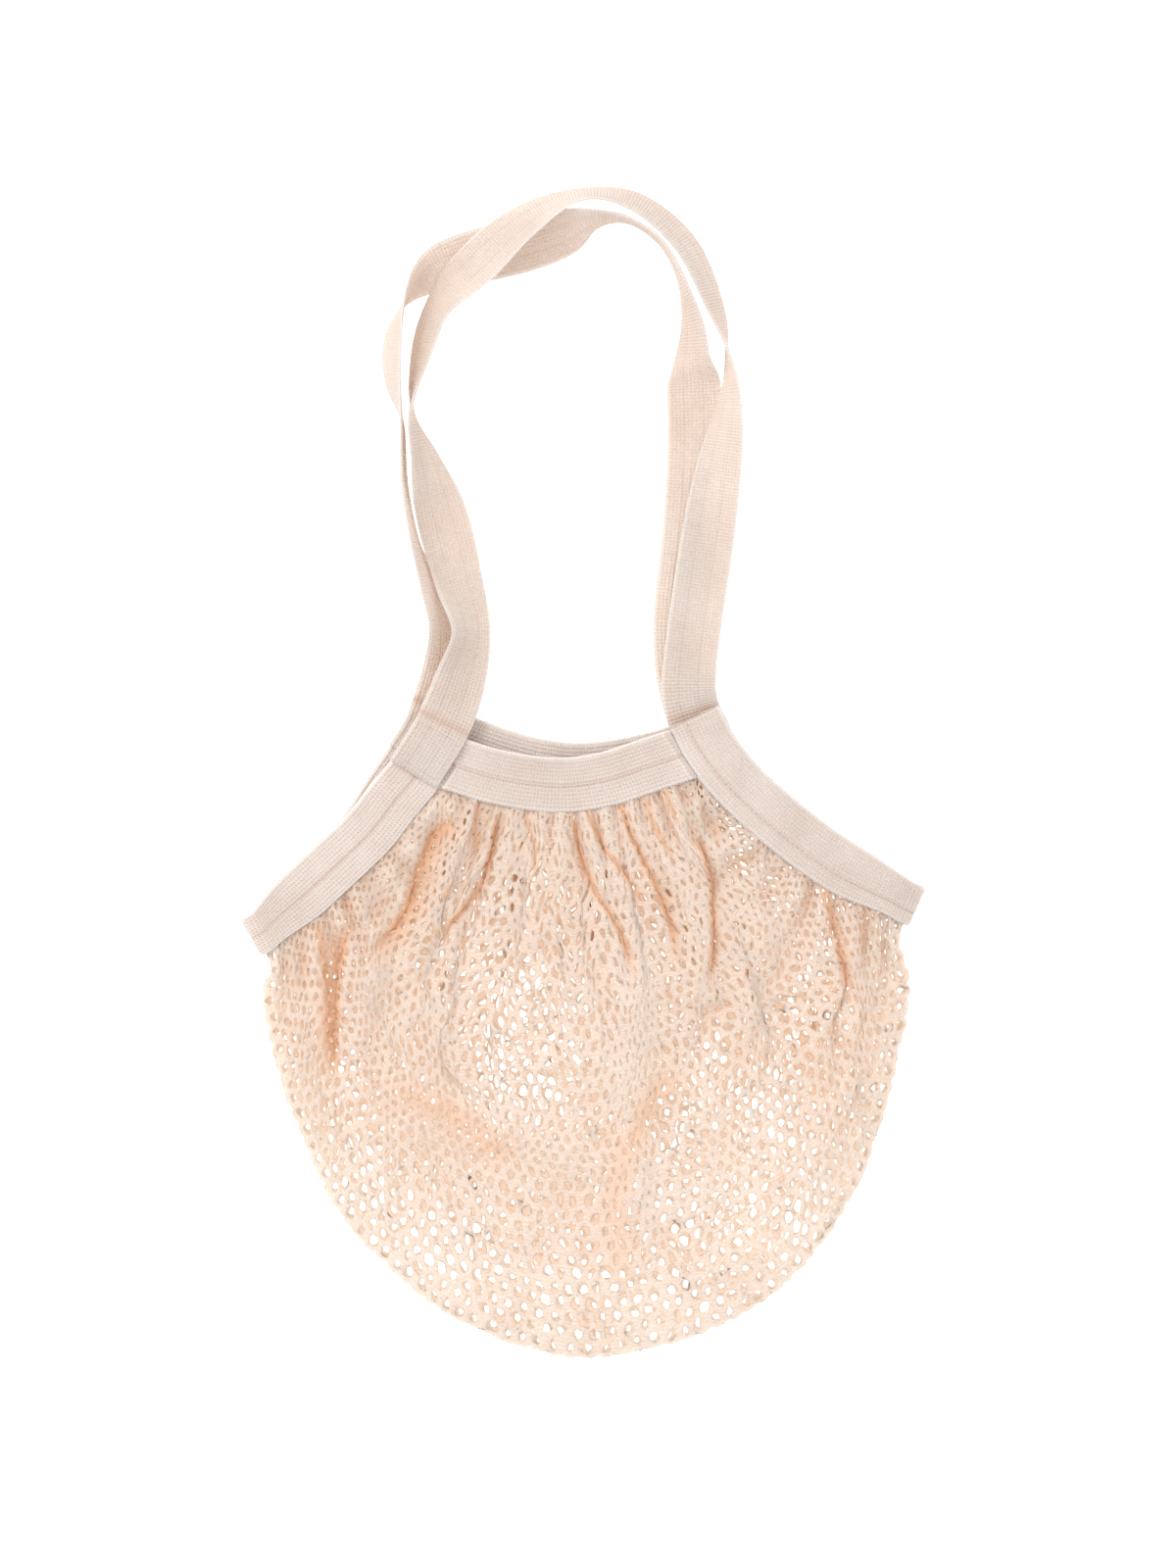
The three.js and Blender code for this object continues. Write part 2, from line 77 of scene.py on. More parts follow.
# Middle lines of the side bindings, from the upper end down to the side point: front x, y, back x, y
LEFT_SIDE = [
    (-77, 11.5, -76, 25),
    (-87.5, -3, -87.5, 6),
    (-96.7, -14, -98.5, -10),
    (-108.7, -29.5, -110, -28),
    (-126.8, -47, -126.8, -47),
    (-146, -65.3, -146, -65.3),
    (-161.3, -83, -161.3, -83),
]
RIGHT_SIDE = [
    (56.8, 28.6, 57.3, 28.9),
    (63, 16, 63.4, 16.3),
    (74.4, 0.2, 74.7, 0.4),
    (91.2, -16.6, 91.2, -16.6),
    (118.6, -38.8, 118.6, -38.8),
    (143.2, -55, 143.2, -55),
    (162.7, -68, 162.7, -68),
]
# From this share of its way to the side point, a side binding narrows and slants beside the net
POINT_FROM = 0.75
POINT_NARROWING = 6.0
POINT_SLANT = {"left": 0.35, "right": 0.17}
# Side of the run on which the net lies
HAND = {"left": 1, "right": -1}

# Outline of the lying net under the side points: y, left x, right x
OUTLINE = [
    (-108, -163.5, 168),
    (-141, -160.5, 163),
    (-176, -148, 155),
    (-211, -134.5, 141),
    (-243, -110, 122.5),
    (-272, -78, 92),
    (-291, -41, 51),
]
OUTLINE_BOTTOM = (3, -300.2)
# Where the corners of the net sit, as shares of the way down each side binding
CORNER_SHARE = {
    ("front", "left"): 0.08,
    ("front", "right"): 0.2,
    ("back", "left"): 0.12,
    ("back", "right"): 0.2,
}

# Rolls of the front net: x0, y0, x1, y1, half width, height, crowding of the cells
FOLDS = [
    (-84, -25, -118, -72, 6, 5, -0.3),
    (-62, -34, -74, -84, 7, 3, 0.2),
    (-104, -84, -114, -136, 6, 4, 0.3),
    (-140, -88, -138, -150, 6, 3.5, 0.2),
    (10, -26, 26, -120, 10, 3, 0.3),
    (26, -120, 22, -250, 10, 3.5, 0.4),
    (56, -40, 62, -112, 7, 5, 0.3),
    (96, -50, 84, -120, 9, 3, 0.2),
    (142, -80, 140, -160, 9, 3.5, 0.2),
    (-82, -166, 22, -206, 13, 3, 0.4),
    (-104, -120, -86, -164, 16, 2, 0.2),
]
# Creases of the front net: reach on the left of the line, depth, strength of the painted warm shade in it,
# how far the cloth on the right hangs over it (0 for soft bands of painted shade), points x, y
CREASES = [
    (8.0, 7, 0.75, 3.0, [(-64, -20), (-78, -31), (-84, -47), (-91, -69), (-99, -80), (-118, -101)]),
    (1.2, 3, 0.7, 1.0, [(-53, -14), (-55, -31), (-54, -44)]),
    (2.0, 4, 0.9, 1.6, [(-43, -18), (-47, -39), (-50, -54), (-57, -64), (-68, -77), (-72, -92)]),
    (1.2, 2, 0.6, 1.0, [(-30, -18), (-24, -39), (-26, -56)]),
    (2.4, 4, 0.8, 1.6, [(-7, -16), (-1, -44), (6, -61), (16, -77), (23, -92), (26, -112)]),
    (1.6, 3, 0.8, 1.2, [(-1, -14), (11, -39), (23, -54), (34, -74)]),
    (2.2, 4, 0.9, 1.8, [(17, -10), (24, -32), (36, -57), (44, -76), (49, -101)]),
    (1.5, 3, 0.8, 1.2, [(30, -7), (36, -27), (48, -48)]),
    (1.5, 3, 0.8, 1.2, [(39, -4), (50, -29)]),
    (7.0, 7, 0.75, 2.5, [(-125, -156), (-125, -136), (-124, -106), (-121, -89), (-114, -72)]),
    (4.0, 6, 0.7, 2.0, [(-138, -74), (-133, -94), (-131, -111), (-131, -136), (-128, -162)]),
    (2.0, 3, 0.6, 1.2, [(-153, -86), (-147, -113)]),
    (3.0, 5, 0.7, 2.0, [(58, -32), (65, -56), (66, -85), (63, -114)]),
    (4.0, 5, 0.7, 2.0, [(120, -54), (130, -88), (136, -120)]),
    (8.0, 1, 0.4, 0.0, [(-34, -199), (-67, -174), (-104, -156)]),
    (6.0, 1, 0.4, 0.0, [(19, -200), (34, -169), (52, -148)]),
    (7.0, 0, 0.3, 0.0, [(24, -180), (17, -215), (20, -250), (24, -268)]),
]
# How fast the painted shade of a crease and its slope end on the right of the line
CREASE_EDGE = 0.8
CREASE_SLOPE = 2.0
# Shares of the length of a crease between which it is full
CREASE_FULL = (0.1, 0.75)
# Cloth that laps over a crease: place and width of its strip, how far the cloth under it is drawn back, how
# far both rise and fall, and how fast that fades to the ends of the crease
OVERHANG_PLACE = 2.5
OVERHANG_REACH = 3.0
OVERHANG_DRAW = 0.6
OVERHANG_RISE = 0.5
OVERHANG_FADE = 3
# Open patches of the net, where the table shows through both layers: x0, y0, x1, y1, half width, openness
OPEN_PATCHES = [
    (-40, -108, -32, -162, 27, 0.95),
    (-44, -57, -12, -58, 8, 0.75),
    (84, -164, 104, -226, 20, 0.6),
    (56, -232, 106, -212, 20, 0.65),
    (122, -88, 100, -162, 8, 0.75),
    (66, -146, 40, -200, 13, 0.75),
    (-120, -150, -112, -205, 9, 0.65),
    (-105, -216, -48, -252, 16, 0.5),
    (-52, -262, 62, -266, 13, 0.4),
    (70, -14, 84, -40, 7, 0.9),
    (-66, -22, -58, -40, 5, 0.4),
    (84, -46, 100, -68, 9, 0.85),
    (104, -50, 146, -84, 10, 0.5),
]
# Crowding of the cells in front and behind, how much the open patches take off, and the most that folds add
FRONT_CROWDING = 0.25
BACK_CROWDING = 0.55
FRONT_OPENING = 0.6
BACK_OPENING = 1.4
MOST_FOLD_CROWDING = 0.5
# Loft of the front net, how full it is, and the distances from the edge of the net over which it grows
LOFT = 5.0
LOFT_FULLNESS = 0.7
LOFT_REACH = (16, 43)
# Rise of the front net right behind its bindings, and the distances over which it grows
PUFF = 1.8
PUFF_REACH = (11.5, 15)
# How fast the back net drops to the table, and the share of its height over which it turns up at the outline
BACK_DROP = 1.2
BACK_TURN = 0.12

# Handles: x, y, tilt in degrees (0 lies flat, 90 stands on edge), height of the lowest edge
ON_FRONT = FRONT_LEVEL + BINDING_THICKNESS / 2 + FIT_GAP
UNDER_FRONT = FRONT_LEVEL - BINDING_THICKNESS / 2 - FIT_GAP - STRAP_THICKNESS
ON_BACK = BACK_LEVEL + BINDING_THICKNESS / 2 + FIT_GAP
FRONT_STRAP = [
    (-86.5, -0.8, 0, ON_FRONT),
    (-71.6, 23.5, 0, ON_FRONT),
    (-62.8, 46, 22, 9),
    (-56.8, 71.8, 46, 3),
    (-63.6, 99.3, 28, 2),
    (-71.3, 129.3, 20, 0.3),
    (-79.8, 158.8, 57, 0.3),
    (-87, 184.3, 88, 0.3),
    (-82.3, 213.3, 113, 1.2),
    (-73.2, 237.4, 122, 8.5),
    (-53.8, 259.3, 146, 13),
    (-29.3, 281.3, 131, 9),
    (-0.3, 295, 106, 1.5),
    (27.8, 290.8, 114, 0.5),
    (52.8, 269.3, 118, 0.3),
    (67.6, 237.3, 110, 1),
    (74, 213, 88, 5),
    (74.8, 188.3, 65, 10),
    (68.8, 151.8, 32, 5),
    (61.8, 106.8, 12, 4),
    (55.8, 64.3, 14, 6),
    (54.2, 42, 4, 8.2),
    (57.6, 27, 0, UNDER_FRONT - 0.2),
    (65, 13, 0, UNDER_FRONT),
]
BACK_STRAP = [
    (-87, 7, 0, ON_BACK),
    (-77, 23.5, 0, ON_BACK),
    (-71, 46, 28, 1),
    (-69.3, 71.8, 50, 0.5),
    (-77, 94.3, 67, 0.3),
    (-85.3, 116.8, 82, 0.3),
    (-90.8, 146.8, 86, 0.3),
    (-92.3, 179.3, 90, 0.3),
    (-96.6, 198.3, 106, 0.3),
    (-97, 219.3, 110, 0.3),
    (-90.8, 239.3, 90, 0.3),
    (-75.4, 255.6, 40, 0.3),
    (-56.3, 263.3, 13, 0.3),
    (-30.8, 269.5, 12, 0.3),
    (-9.4, 276, 33, 0.3),
    (6.3, 282.3, 72, 0.3),
    (22.8, 281.8, 88, 0.3),
    (40, 270.4, 88, 0.3),
    (50.6, 250.5, 84, 0.3),
    (56, 228, 66, 0.3),
    (56, 209.5, 46, 0.3),
    (57, 194, 6, 0.3),
    (57.3, 164, 4, 0.3),
    (54.8, 124.3, 4, 0.3),
    (49.8, 74.3, 4, 0.3),
    (53.5, 40, 0, ON_BACK),
    (63.5, 16, 0, ON_BACK),
]

# Knit of the tape: ribs, stitches along them, and the groove of a sewn seam
RIB_PITCH = 2.0
RIB_HEIGHT = 0.14
STITCH_PITCH = 1.65
SEAM_GROOVE = 0.35
SEAM_HALF_WIDTH = 1.1
# Painted shade along the groove of a seam: its half width and strength
SEAM_SHADE_WIDTH = 0.8
SEAM_SHADE_STRENGTH = 0.7
# Length of a step along a binding, and the width of the painted highlight along the edges of a tape
TAPE_STEP = 2.5
HIGHLIGHT_EDGE_WIDTH = 2.0
# Rounded edge of a handle: its width, and the share of the thickness left at the very edge
STRAP_EDGE = 1.2
STRAP_EDGE_THICKNESS = 0.15
# Steps along a handle between two of its rows, and the part of such a gap by which its direction is read
STRAP_STEPS_PER_ROW = 12
STRAP_RUN_STEP = 0.01
# Seams of a handle: places across it, and the strength of their painted shade as a share of the bindings'
STRAP_SEAMS = (-4.6, 4.8)
STRAP_SEAM_SHADE = 0.25
# Stitched box on the lapped end of a handle: distances of its ends from the start of the handle, margin at
# the edges of the tape, and points along each of its sides
LAP_BOX = (3.5, 25.0)
LAP_MARGIN = 2.5
LAP_STEPS = 24
# Painted shadows across a handle at its laps: distances from its start, or under zero from its end, and their
# reach and strength
LAP_SHADOW_PLACES = (31.0, -19.5)
LAP_SHADOW_REACH = 2.0
LAP_SHADOW = 0.9
# Rounded fold of a binding: its width, and the share of the thickness left at the very fold
FOLD_EDGE = 3.0
FOLD_EDGE_THICKNESS = 0.3
# Taper of a binding at its edge on the net: width and drop
NET_EDGE = 2.5
NET_EDGE_DROP = 0.75
# Corners of the slot in the section of a binding, which take the full painted shade
SLOT_CORNERS = 6
# Places of the seams across the bindings
TOP_SEAM = 0.5
SIDE_SEAM = {"left": 1.0, "right": 5.0}
# Steps of the turn of a side binding at its side point
TURN_ANGLES = np.radians(np.arange(0, 181, 15))
# Share of a side binding along which a top binding may meet it, and the number of places looked at
MEETING_SHARE = 0.6
MEETING_STEPS = 40
# Rows of stitches: spacing, length, thickness and darkness of the stitches, and how deep they sit in the tape
SEAM_THREAD = (3.0, 2.5, 0.55, 0.25)
LAP_THREAD = (2.6, 2.2, 0.5, 0.9)
THREAD_DEPTH = 0.1
# Shape of a stitch: shares of its length and of its thickness, corners round it, and as shares of its
# thickness how far its ends sink and how far its middle stands out
STITCH_PROFILE = ((-0.5, 0.35), (-0.3, 0.85), (0, 1.0), (0.3, 0.85), (0.5, 0.35))
STITCH_CORNERS = 6
STITCH_SINK = 1.2
STITCH_RISE = 0.2

# Knit of the net: a honeycomb of holes in columns and rows, one half of the rows in front and one behind
SHEET_COLUMNS = 72
PANEL_ROWS = 42
CELL_WIDTH = 7.0
CELL_HEIGHT = 6.9
# Strands between the holes, and the pitch of the loops in their yarn
STRAND_HALF_WIDTH = 1.55
STRAND_HALF_THICKNESS = 0.9
LOOP_PITCH = 1.7
# Shares of the width and thickness of a strand left in narrow cells, and the cell width with full thickness
NARROW_WIDTH = 0.65
NARROW_THICKNESS = 0.4
FULL_THICKNESS_WIDTH = 5.0
# Share of the thickness left beside a binding, and the distances over which it becomes full
BOUND_THICKNESS = 0.55
BOUND_REACH = (SEAM_DEPTH + 1, SEAM_DEPTH + 6)
# Half width and half height of holes, as shares of the cell: before the strands take their part, at the most,
# and at the least in front and behind
PLAIN_HOLE = (0.5, 0.6)
LARGEST_HOLE = (0.4, 0.5)
FRONT_LEAST_HOLE = (0.17, 0.34)
BACK_LEAST_HOLE = (0.09, 0.12)
# How far the edge of a hole may lie from its centre, in columns and rows
HOLE_LIMIT = np.array([0.42, 0.52])
# Holes pulled shut in narrow cells of the front net: their share, cell widths with the most and with none,
# their size as shares of the cell, and how far their edge is lifted
SHUT_SHARE = 0.6
SHUT_WIDTHS = (4.0, 6.2)
SHUT_SIZE = (0.05, 0.12)
SHUT_LIFT = 0.75
# Uneven knitting: spread of cell and hole sizes and of strand thickness, lean of holes in turn left and
# right, spread of that lean and of their edges, and the shift of places in columns and rows
SIZE_SPREAD = 0.35
HOLE_SPREAD = 0.22
THICKNESS_SPREAD = 0.12
HOLE_LEAN = 0.3
LEAN_SPREAD = 0.4
HOLE_WOBBLE = 0.11
JITTER = 0.07
# Crowding of the cells at the outline, and the number of rows over which it ends
RIM_CROWDING = 0.15
RIM_ROWS = 4

# Pleats under the top binding and beside the side ones: number, height, distances from the edge of the net
# over which they grow and fade, and the size and pace of their uneven places
TOP_PLEATS = 15
TOP_PLEAT_HEIGHT = 2.0
TOP_PLEAT_GROWTH = (9, 16)
TOP_PLEAT_FADE = (30, 125)
TOP_PLEAT_SWAY = (0.9, 0.61)
SIDE_PLEATS = 8
SIDE_PLEAT_HEIGHT = 2.6
SIDE_PLEAT_GROWTH = (9, 15)
SIDE_PLEAT_FADE = (18, 48)
SIDE_PLEAT_SWAY = (0.8, 0.5)
# Mean height of the top pleats, and the size and pace of its changes
TOP_PLEAT_SHARE = 0.75
TOP_PLEAT_CHANGE = (0.25, 0.37)

# Relaxing of the net: rounds, and the number of rounds after which the folds are read again
RELAX_ROUNDS = 250
ROUNDS_PER_READING = 10
# Springs: cells from end to end, least length and pull to the length at rest, as shares
SPRINGS = ((1, 0.3, 0.06), (2, 0.4, 0.02), (3, 0.4, 0.02))
# Longest width and height of a cell, and its size at rest, as shares
LONGEST_WIDTH = 1.26
LONGEST_HEIGHT = 1.1
REST_SHARE = 0.96
# How much larger the cells are in open patches
OPEN_GROWTH = 0.3
# Pull of the points to their goals: height, the outline, and the two rows on each side of it
HEIGHT_PULL = 0.3
OUTLINE_PULL = 0.5
BESIDE_OUTLINE_PULL = 0.2
# Evening out of the points: everywhere, more beside the edge of the net, and where that ends
EVENING = 0.1
EDGE_EVENING = 0.4
EVENING_REACH = (14, 60)
# Distances from the edge of the net over which folds grow, rows over which they end at the outline, and the
# first shake of the points with the distances over which it grows
FOLD_GROWTH = (12, 34)
FOLD_END_ROWS = 6
SHAKE = np.array([0.6, 0.6, 0.0])
SHAKE_GROWTH = (10, 20)
# Lowest and highest places of the front net, of the back net and of the rows at the turn
FRONT_HEIGHTS = (8.0, 25.0)
BACK_HEIGHTS = (1.3, 5.5)
TURN_SWING = 2.0
TURN_FRONT_LOWEST = 9.0
TURN_BACK_HIGHEST = 6.5
# Slope of the net beside a binding, how far it may leave the middle height there, while relaxing and at the
# end, and how far past the binding it stays so
NET_SLOPE = 1.2
EDGE_SWING = 0.8
BOUND_SWING = 0.2
BOUND_LENGTH = 0.5
# Uneven lie of the net: in plan and in height, its blur, its share behind, how much open patches lose, and
# the shares of a cell's size and the distances from the edge of the net over which it grows
UNEVENNESS = np.array([1.3, 1.3, 2.6])
UNEVEN_PASSES = (1, 1, 2)
BACK_UNEVENNESS = 0.4
OPEN_EVENNESS = 0.6
UNEVEN_SIZES = (0.25, 0.9)
UNEVEN_GROWTH = (12, 24)
# How far the uneven sizes of the cells are blurred
SIZE_PASSES = 2

# Painted warm shade of the net, from 0 to 1: in valleys, with the depths over which it grows and the blur
# that finds them, on steep parts, on faces into the bag in front and behind, and beside the bindings
VALLEY_SHADE = 0.35
VALLEY_DEPTHS = (-0.3, 2.2)
VALLEY_PASSES = 5
STEEP_SHADE = 0.5
STEEPNESS = (0.25, 0.85)
FRONT_INSIDE_SHADE = 0.05
BACK_INSIDE_SHADE = 0.45
CONTACT_SHADE = 0.2
CONTACT_SHADE_REACH = (SEAM_DEPTH, SEAM_DEPTH + 3)
# Painted warm shade at the bottom of pleats: strength, sharpness, rows over which it ends, mean and uneven
# share
PLEAT_SHADE = 0.3
PLEAT_SHARPNESS = 10
PLEAT_ROWS = (4, 9)
PLEAT_SHARE = 0.6
PLEAT_SHARE_CHANGE = (0.4, 1.3)
# How far the painted warm shade on faces into the bag shows where the net is gathered and where it lies flat,
# and the distances from its edge over which that changes
GATHERED_INSIDE_SHADE = 0.65
FLAT_INSIDE_SHADE = 0.3
GATHER_REACH = (50, 150)
# Rows from the outline over which the painted warm shade starts
SHADE_FADE_ROWS = (2, 8)
# Distance of the turn at the outline from the bindings, far enough to be free of them, and as a height under
# zero lower than all others
FAR = 99.0
# Points by which the edges of the net are drawn, and read for distances
EDGE_STEPS = 13
EDGE_POINTS = 60
# Places of the outline at a side point, as shares of the seam depth
POINT_PLACES = np.array([0, 0.6, 1.2])


# Curves

def cubic(points, places):
    """Points of a uniform Catmull-Rom curve along axis 0, at places counted in spans."""
    span = np.minimum(places.astype(int), len(points) - 2)
    part = (places - span).reshape((-1,) + (1,) * (points.ndim - 1))
    padded = np.concatenate([2 * points[:1] - points[1:2], points, 2 * points[-1:] - points[-2:-1]])
    before, start, end, after = (padded[span + shift] for shift in range(4))
    return hermite(start, end, (end - before) / 2, (after - start) / 2, part)


def hermite(start, end, leave, arrive, part):
    return (
        start
        + leave * part
        + (3 * (end - start) - 2 * leave - arrive) * part**2
        + (2 * (start - end) + leave + arrive) * part**3
    )


class Line:
    """A smooth line through points, read by the share of its length."""

    SPAN_STEPS = 40
    RUN_STEP = 0.002

    def __init__(self, points):
        points = np.asarray(points, float)
        padded = np.vstack([2 * points[0] - points[1], points, 2 * points[-1] - points[-2]])
        part = np.linspace(0, 1, self.SPAN_STEPS, endpoint=False)[:, None]
        pieces = []
        for index in range(len(points) - 1):
            before, start, end, after = padded[index:index + 4]
            gap_in, gap, gap_out = (
                np.linalg.norm(second - first) ** 0.5
                for first, second in ((before, start), (start, end), (end, after))
            )
            leave = (start - before) / gap_in - (end - before) / (gap_in + gap) + (end - start) / gap
            arrive = (end - start) / gap - (after - start) / (gap + gap_out) + (after - end) / gap_out
            pieces.append(hermite(start, end, leave * gap, arrive * gap, part))
        self.points = np.vstack(pieces + [points[-1:]])
        self.length = steps_along(self.points).sum()
        self.shares = lengths_along(self.points) / self.length

    def at(self, share):
        return np.stack([np.interp(share, self.shares, axis) for axis in self.points.T], -1)

    def run(self, share):
        """Unit direction of the line."""
        ahead, behind = np.minimum(share + self.RUN_STEP, 1), np.maximum(share - self.RUN_STEP, 0)
        return unit(self.at(ahead) - self.at(behind))


def unit(vectors):
    return vectors / np.linalg.norm(vectors, axis=-1, keepdims=True)


def left_of(run):
    """Level direction at right angles to a run, on its left."""
    return np.stack([-run[..., 1], run[..., 0]], -1)


def smooth(value, low, high):
    share = np.clip((value - low) / (high - low), 0, 1)
    return share * share * (3 - 2 * share)


def with_height(flat, height):
    return np.concatenate([flat, np.broadcast_to(height, flat.shape[:-1])[..., None]], -1)


def steps_along(path):
    """Distances between the points of a path."""
    return np.linalg.norm(np.diff(path, axis=0), axis=1)


def lengths_along(path):
    """Distance of each point of a path from its start, along the path."""
    return np.concatenate([[0], np.cumsum(steps_along(path))])


def bell(distance, width):
    """1 at no distance, falling to 0 over a few widths."""
    return np.exp(-((distance / width) ** 2))


def sway(places, size, pace):
    """A slow change to and fro along columns or rows."""
    return size * np.sin(places * pace)


# Meshes

def make_object(name, parts, material):
    """One mesh object from parts with points, quads, caps (lists of indices) and values by point.

    The first part names the values; another part that lacks one has 0 there.
    """
    points, loops, totals = [], [], []
    values = {key: [] for key in parts[0]["values"]}
    first = 0
    for part in parts:
        count = len(part["points"])
        points.append(part["points"])
        loops.append((part["quads"] + first).ravel())
        totals.append(np.full(len(part["quads"]), 4))
        for cap in part.get("caps", []):
            loops.append(np.asarray(cap) + first)
            totals.append(np.array([len(cap)]))
        for key, pieces in values.items():
            pieces.append(np.broadcast_to(part["values"].get(key, 0.0), (count,)))
        first += count
    points = np.concatenate(points) * MM
    loops = np.concatenate(loops)
    totals = np.concatenate(totals)
    mesh = bpy.data.meshes.new(name)
    mesh.vertices.add(len(points))
    mesh.vertices.foreach_set("co", points.astype(np.float32).ravel())
    mesh.loops.add(len(loops))
    mesh.loops.foreach_set("vertex_index", loops.astype(np.int32))
    mesh.polygons.add(len(totals))
    mesh.polygons.foreach_set("loop_start", (np.cumsum(totals) - totals).astype(np.int32))
    mesh.polygons.foreach_set("use_smooth", totals == 4)
    mesh.update(calc_edges=True)
    for key, pieces in values.items():
        data = mesh.attributes.new(key, "FLOAT", "POINT").data
        data.foreach_set("value", np.concatenate(pieces).astype(np.float32))
    mesh.materials.append(material)
    made = bpy.data.objects.new(name, mesh)
    bpy.context.scene.collection.objects.link(made)
    return made


def tube(rings, **values):
    """A closed skin over rings of points: array (rings, corners, 3). Values are (rings, corners) arrays."""
    ring_count, corners = rings.shape[:2]
    index = np.arange(ring_count * corners).reshape(ring_count, corners)
    here, there = index[:-1], index[1:]
    quads = np.stack([here, np.roll(here, -1, 1), np.roll(there, -1, 1), there], -1).reshape(-1, 4)
    return {
        "points": rings.reshape(-1, 3),
        "quads": quads,
        "caps": [index[0][::-1], index[-1]],
        "values": {key: np.broadcast_to(value, index.shape).ravel() for key, value in values.items()},
    }


def stitches(path, up, spacing, length, thickness, shade):
    """A row of thread stitches along a path of points, lying on the side that up points to."""
    places = lengths_along(path)
    count = int(places[-1] // spacing)
    angles = np.arange(STITCH_CORNERS) * math.tau / STITCH_CORNERS
    parts = []
    for number in range(count):
        centre = (number + 0.5) * places[-1] / count
        middle, ahead, rise = (
            np.array([np.interp(place, places, axis) for axis in rows.T])
            for place, rows in ((centre, path), (centre + 0.5, path), (centre, up))
        )
        run = unit(ahead - middle)
        rise = unit(rise - run * (rise @ run))
        spread = np.outer(np.cos(angles), np.cross(run, rise)) + np.outer(np.sin(angles), rise)
        rings = []
        for share, girth in STITCH_PROFILE:
            sink = rise * thickness * (abs(share) * STITCH_SINK - STITCH_RISE)
            rings.append(middle + run * (share * length) - sink + spread * (girth * thickness / 2))
        parts.append(tube(np.array(rings), shade=shade))
    return parts


# Net sheet

def inward_from(line, share, side):
    """Level direction from a side binding into the net."""
    share = np.asarray(share, float)
    run = line.run(share)
    slant = POINT_SLANT[side] * smooth(share, POINT_FROM, 1)
    return unit(left_of(run) * HAND[side] + run * slant[..., None])


def side_line(side, run):
    rows = LEFT_SIDE if side == "left" else RIGHT_SIDE
    columns = slice(0, 2) if run == "front" else slice(2, 4)
    return Line([row[columns] for row in rows])


def net_side_edge(side, run):
    line = side_line(side, run)
    share = np.linspace(0, 1, EDGE_STEPS)
    whole = Line(line.at(share) + inward_from(line, share, side) * NET_EDGE_OFFSET)
    return Line(whole.at(np.linspace(CORNER_SHARE[run, side], 1, EDGE_STEPS)))


def net_panel(run):
    left, right = net_side_edge("left", run), net_side_edge("right", run)
    line = Line(FRONT_TOP if run == "front" else BACK_TOP)
    share = np.linspace(0, 1, EDGE_STEPS)
    inner = line.at(share) - left_of(line.run(share)) * NET_EDGE_OFFSET
    return {"top": Line(np.vstack([left.at(0.0), inner[1:-1], right.at(0.0)])), "left": left, "right": right}


def net_fold_line():
    """Where the front net starts to turn under: the outline moved in by the reach of the turn."""
    down_left = [(left, y) for y, left, right in OUTLINE]
    up_right = [(right, y) for y, left, right in reversed(OUTLINE)]
    outline = Line(down_left + [OUTLINE_BOTTOM] + up_right)
    share = np.linspace(0, 1, 2 * len(OUTLINE) + 1)
    inset = outline.at(share) + left_of(outline.run(share)) * FOLD_REACH
    starts = {}
    for side in ("left", "right"):
        line = side_line(side, "front")
        reach = NET_EDGE_OFFSET + SEAM_DEPTH * POINT_PLACES
        starts[side] = line.at(1.0) + inward_from(line, 1.0, side) * reach[:, None]
    return Line(np.vstack([starts["left"], inset, starts["right"][::-1]]))


def panel_points(panel, fold, across, down):
    """Points of a panel in plan: its four edges blended across and down."""
    a, d = across[None, :, None], down[:, None, None]
    corners = panel["top"].at(0.0) * (1 - a) * (1 - d) + panel["top"].at(1.0) * a * (1 - d)
    corners = corners + fold.at(0.0) * (1 - a) * d + fold.at(1.0) * a * d
    rows = panel["top"].at(across)[None] * (1 - d) + fold.at(across)[None] * d
    columns = panel["left"].at(down)[:, None] * (1 - a) + panel["right"].at(down)[:, None] * a
    return rows + columns - corners


def distance_to_tape(panel, flat):
    edge = np.vstack([panel[key].at(np.linspace(0, 1, EDGE_POINTS)) for key in ("top", "left", "right")])
    return np.sqrt(((flat[..., None, :] - edge) ** 2).sum(-1)).min(-1)


def to_straight(flat, start, end):
    """Points seen from a straight line: share of the way to its end, offset from it and distance."""
    run = end - start
    offset = flat - start
    share = np.clip((offset @ run) / (run @ run), 0, 1)
    gap = offset - share[..., None] * run
    return share, gap, np.linalg.norm(gap, axis=-1)


def nearness(flat, ends, half_width):
    """1 on the straight line between two ends, falling to 0 over a few half widths."""
    ends = np.array(ends, float)
    return bell(to_straight(flat, ends[:2], ends[2:])[2], half_width)


def openness(flat):
    total = np.zeros(flat.shape[:-1])
    for *ends, half_width, share in OPEN_PATCHES:
        total = np.maximum(total, share * nearness(flat, ends, half_width))
    return total


def fold_heights(flat):
    """Height of the folds at points, and how far the cells there are crowded."""
    total, crowded = np.zeros(flat.shape[:-1]), np.zeros(flat.shape[:-1])
    for *ends, half_width, height, crowding in FOLDS:
        near = nearness(flat, ends, half_width)
        total += height * near
        crowded += crowding * near
    return total, np.minimum(crowded, MOST_FOLD_CROWDING)


def crease_places(flat, points):
    """Distance of points from a crease, over zero on its left, the direction to its left and its strength."""
    points = np.array(points, float)
    shape = flat.shape[:-1]
    nearest = np.full(shape, np.inf)
    signed, passed, toward = np.zeros(shape), np.zeros(shape), np.zeros(flat.shape)
    for number, (start, end) in enumerate(zip(points, points[1:])):
        share, gap, distance = to_straight(flat, start, end)
        beside = left_of(unit(end - start))
        closer = distance < nearest
        nearest = np.where(closer, distance, nearest)
        signed = np.where(closer, np.copysign(distance, gap @ beside), signed)
        passed = np.where(closer, (number + share) / (len(points) - 1), passed)
        toward = np.where(closer[..., None], beside, toward)
    strength = smooth(passed, 0, CREASE_FULL[0]) * (1 - smooth(passed, CREASE_FULL[1], 1))
    return signed, toward, strength


